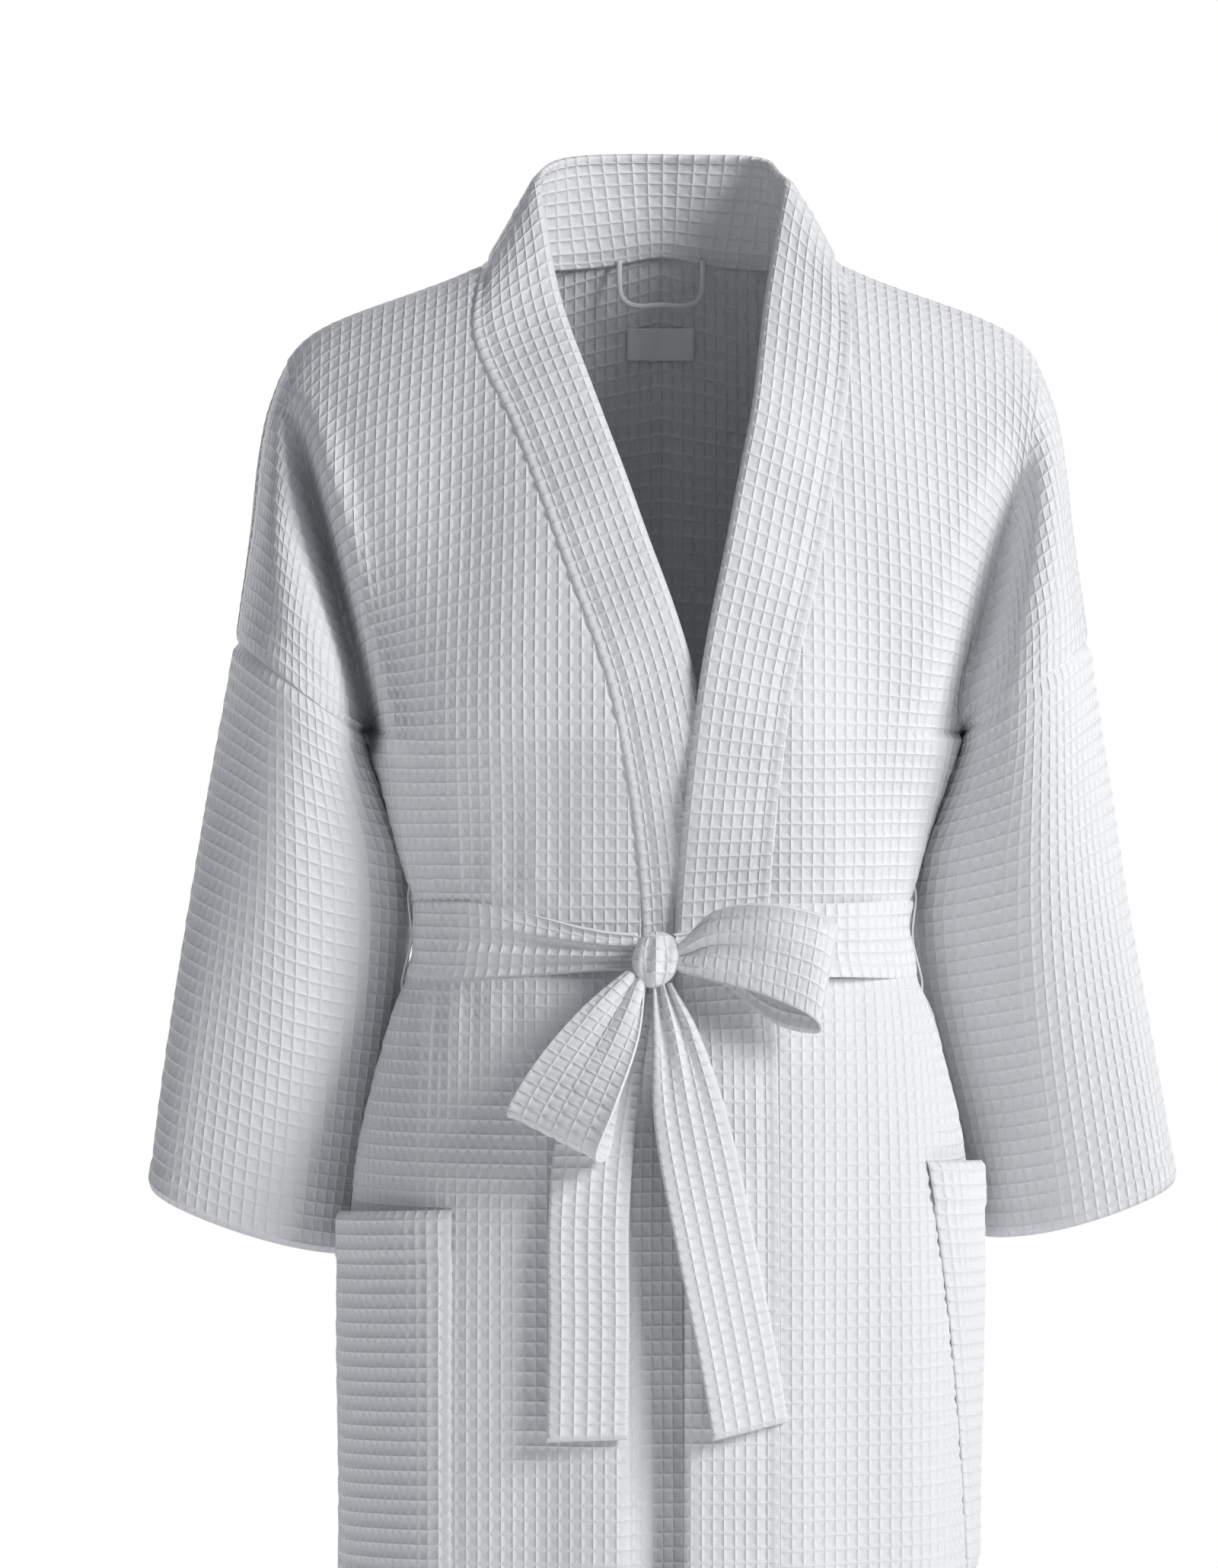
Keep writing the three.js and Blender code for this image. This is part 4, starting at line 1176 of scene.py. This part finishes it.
# slow changes of shade from washing and handling
def washGroup():
    group, start, end = newGroup("washedCloth", {"Size": 7.0}, ["Shade"])
    place = group.nodes.new("ShaderNodeTexCoord")
    broad = group.nodes.new("ShaderNodeTexNoise")
    setInputs(broad, {"Detail": 3.0})
    group.links.new(place.outputs["Object"], broad.inputs["Vector"])
    group.links.new(start.outputs["Size"], broad.inputs["Scale"])
    group.links.new(broad.outputs["Fac"], end.inputs["Shade"])
    return group


crossedThreads, waffleCells, washedCloth = threadGroup(), cellGroup(), washGroup()


def ramp(tree, value, low, high):
    node = tree.nodes.new("ShaderNodeMix")
    node.data_type = "RGBA"
    tree.links.new(value, node.inputs["Factor"])
    for socket, colour in ((node.inputs[6], low), (node.inputs[7], high)):
        if isinstance(colour, tuple):
            socket.default_value = (*colour, 1.0)
        else:
            tree.links.new(colour, socket)
    return node.outputs[2]


# a cotton's own values stand over the common ones
cotton = {
    "sharp": 3.0,
    "relief": 0.0011,
    "shade": 0.04,
    "rough": 0.84,
    "threads": 9.0,
    "fuzz": 0.5,
    "depth": 0.00016,
    "sheen": 0.20,
    # weave sets how much lighter the thread crossings are painted, a painted highlight
    "weave": 0.05,
    "ridge": (0.90, 0.905, 0.915),
}
waffleLook = {"ridge": (0.89, 0.895, 0.91), "relief": 0.0012, "shade": 0.05, "rough": 0.86, "wash": 7.0}
tapeLook = {"ridge": (0.86, 0.865, 0.87), "sharp": 2.0, "relief": 0.0001, "shade": 0.05, "rough": 0.78}
tapeWeave = {"threads": 2.0, "fuzz": 0.3, "depth": 0.00012, "sheen": 0.15, "wash": 20.0, "weave": 0.10}
satinLook = {"ridge": (0.90, 0.895, 0.88), "sharp": 2.0, "relief": 0.00003, "shade": 0.03, "rough": 0.42}
satinWeave = {"threads": 2.5, "fuzz": 0.1, "depth": 0.00005, "sheen": 0.05, "wash": 25.0, "weave": 0.08}
# each cloth's pit colour, darker than its ridge colour, is painted shade in the cells of its weave
clothFinishes = {
    "waffleCotton": {**cotton, **waffleLook, "pitShade": (0.79, 0.80, 0.825)},
    "bandCotton": {**cotton, "pitShade": (0.80, 0.81, 0.83), "wash": 9.0},
    "sashCotton": {**cotton, "pitShade": (0.81, 0.82, 0.84), "wash": 12.0},
    "cottonTape": {**tapeLook, **tapeWeave, "pitShade": (0.78, 0.785, 0.79)},
    "labelSatin": {**satinLook, **satinWeave, "pitShade": (0.86, 0.855, 0.84)},
}


def clothMaterial(name):
    look = clothFinishes[name]
    material = bpy.data.materials.new(name)
    material.use_nodes = True
    tree = material.node_tree
    shader = tree.nodes["Principled BSDF"]
    cells = tree.nodes.new("ShaderNodeUVMap")
    cells.uv_map = "cells"
    weave, grid, wash = (tree.nodes.new("ShaderNodeGroup") for _ in range(3))
    weave.node_tree, grid.node_tree, wash.node_tree = crossedThreads, waffleCells, washedCloth
    setInputs(weave, {"Threads": look["threads"], "Fuzz": look["fuzz"]})
    setInputs(wash, {"Size": look["wash"]})
    setInputs(grid, {"Sharpness": look["sharp"]})
    tree.links.new(cells.outputs[0], weave.inputs["Cells"])
    tree.links.new(cells.outputs[0], grid.inputs["Cells"])
    # darker in the cells than on the ridges: the pit colour is painted shade in the waffle's hollows
    base = ramp(tree, grid.outputs["Ridge"], look["pitShade"], look["ridge"])
    darker = tuple(c * (1 - 2 * look["shade"]) for c in look["ridge"])
    slow = mathNode(tree, "MULTIPLY", wash.outputs["Shade"], 0.35)
    washed = ramp(tree, slow, base, darker)
    # the thread crossings are painted lighter: a painted highlight on the thread crowns
    fine = mathNode(tree, "MULTIPLY", weave.outputs["Tint"], look["weave"] * 3)
    coloured = ramp(tree, fine, washed, tuple(min(1.0, c * 1.05) for c in look["ridge"]))
    tree.links.new(coloured, shader.inputs["Base Color"])
    rough = mathNode(tree, "ADD", mathNode(tree, "MULTIPLY", weave.outputs["Tint"], -0.08), look["rough"])
    tree.links.new(rough, shader.inputs["Roughness"])
    bump = tree.nodes.new("ShaderNodeBump")
    setInputs(bump, {"Strength": 1.0, "Distance": 1.0})
    relief = mathNode(tree, "MULTIPLY", grid.outputs["Ridge"], look["relief"])
    threads = mathNode(tree, "MULTIPLY", weave.outputs["Height"], look["depth"])
    tree.links.new(mathNode(tree, "ADD", relief, threads), bump.inputs["Height"])
    tree.links.new(bump.outputs["Normal"], shader.inputs["Normal"])
    setInputs(shader, {"Sheen Weight": look["sheen"], "Sheen Roughness": 0.5, "Specular IOR Level": 0.25})
    return material


materials = {name: clothMaterial(name) for name in clothFinishes}
print("finishes made")

# what each piece is: the body it rides on, the nodes it stands for, its slot and its finish
bandNodes = ["left_front_band", "right_front_band", "back_neck_band"]
pieceFacts = {
    "left_front": ("robe", ["left_front_panel"], "waffle", "waffleCotton"),
    "right_front": ("robe", ["right_front_panel"], "waffle", "waffleCotton"),
    "back": ("robe", ["back_panel"], "waffle", "waffleCotton"),
    "front_band": ("robe", bandNodes, "waffle_band", "bandCotton"),
    "left_pocket_cloth": ("robe", ["left_pocket"], "waffle", "waffleCotton"),
    "right_pocket_cloth": ("robe", ["right_pocket"], "waffle", "waffleCotton"),
    "sash_wrap": ("robe", ["belt_wrap"], "belt_waffle", "sashCotton"),
    "left_sash_end": ("left_belt_tail", ["left_belt_tail"], "belt_waffle", "sashCotton"),
    "right_sash_end": ("right_belt_tail", ["right_belt_tail"], "belt_waffle", "sashCotton"),
    "left_sash_loop": ("left_bow_loop", ["left_bow_loop"], "belt_waffle", "sashCotton"),
    "right_sash_loop": ("right_bow_loop", ["right_bow_loop"], "belt_waffle", "sashCotton"),
    "left_carrier_strip": ("robe", ["left_belt_carrier"], "tape", "cottonTape"),
    "right_carrier_strip": ("robe", ["right_belt_carrier"], "tape", "cottonTape"),
    "blank_neck_label": ("robe", ["neck_label"], "label", "labelSatin"),
    "left_sleeve_cloth": (None, ["left_sleeve"], "waffle", "waffleCotton"),
    "right_sleeve_cloth": (None, ["right_sleeve"], "waffle", "waffleCotton"),
    "sash_knot": ("robe", ["belt_knot"], "belt_waffle", "sashCotton"),
    "neck_hang_loop": ("hang_loop", ["hang_loop"], "tape", "cottonTape"),
}


# a sleeve's placement is baked into its mesh; the sleeve is not bent
def bendSleeve(piece):
    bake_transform(piece)


for name, (body, nodes, slotName, finish) in pieceFacts.items():
    piece = made[name]
    piece.data.materials.append(materials[finish])
    if body:
        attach(piece, body)
    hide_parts(*nodes)
bendSleeve(made["left_sleeve_cloth"])
bendSleeve(made["right_sleeve_cloth"])
print("pieces dressed")

# floor, backdrop, light and camera
studio = {
    "floor": -1.42,
    "key": {"power": 95.0, "size": 1.5, "at": (2.45, -1.80, 1.10), "colour": (1.0, 0.997, 0.985)},
    "fill": {"power": 5.0, "size": 2.6, "at": (-3.0, -1.6, 0.3), "colour": (0.90, 0.94, 1.0)},
    "back": {"power": 72.0, "size": 1.8, "at": (-1.5, 2.9, 0.9), "colour": (1.0, 1.0, 1.0)},
    "aim": (0, 0, -0.45),
    "world": 0.24,
    "backdrop": 1.0,
}


def stageFloor(radius, height, material):
    bm = bmesh.new()
    bmesh.ops.create_circle(bm, cap_ends=True, segments=96, radius=radius)
    bmesh.ops.translate(bm, verts=bm.verts, vec=(0, 0, height))
    mesh = bpy.data.meshes.new("studio_floor")
    bm.to_mesh(mesh)
    bm.free()
    mesh.materials.append(material)
    linked("studio_floor", mesh)


def paleMaterial(name, colour, glow=0.0):
    material = bpy.data.materials.new(name)
    material.use_nodes = True
    shader = material.node_tree.nodes["Principled BSDF"]
    setInputs(shader, {"Base Color": (*colour, 1), "Roughness": 0.9})
    setInputs(shader, {"Emission Color": (1, 1, 1, 1), "Emission Strength": glow})
    return material


stageFloor(2.6, studio["floor"], paleMaterial("paleFloor", (0.88, 0.88, 0.885), 0.30))


def areaLight(name, facts):
    data = bpy.data.lights.new(name, "AREA")
    data.energy, data.size, data.color = facts["power"], facts["size"], facts["colour"]
    light = linked(name, data)
    light.location = facts["at"]
    light.rotation_euler = (Vector(studio["aim"]) - light.location).to_track_quat("-Z", "Y").to_euler()


for name in ("key", "fill", "back"):
    areaLight(name + "_light", studio[name])
world = bpy.data.worlds.new("studio")
bpy.context.scene.world = world
world.use_nodes = True
dim = world.node_tree.nodes["Background"]
setInputs(dim, {"Color": (0.90, 0.94, 1.0, 1), "Strength": studio["world"]})
white = world.node_tree.nodes.new("ShaderNodeBackground")
setInputs(white, {"Color": (1, 1, 1, 1), "Strength": studio["backdrop"]})
seen = world.node_tree.nodes.new("ShaderNodeLightPath")
both = world.node_tree.nodes.new("ShaderNodeMixShader")
world.node_tree.links.new(seen.outputs["Is Camera Ray"], both.inputs[0])
world.node_tree.links.new(dim.outputs[0], both.inputs[1])
world.node_tree.links.new(white.outputs[0], both.inputs[2])
world.node_tree.links.new(both.outputs[0], world.node_tree.nodes["World Output"].inputs["Surface"])

view = {"place": (-0.035, -4.20, -0.315), "lens": 145.8}
cameraData = bpy.data.cameras.new("camera")
cameraData.lens = view["lens"]
camera = bpy.data.objects.new("camera", cameraData)
camera.location = view["place"]
camera.rotation_euler = (math.radians(90), 0, 0)
bpy.context.scene.collection.objects.link(camera)
bpy.context.scene.camera = camera
bpy.context.scene.view_settings.view_transform = "Standard"  # keeps white cloth white
print("studio set")

bpy.context.view_layer.update()
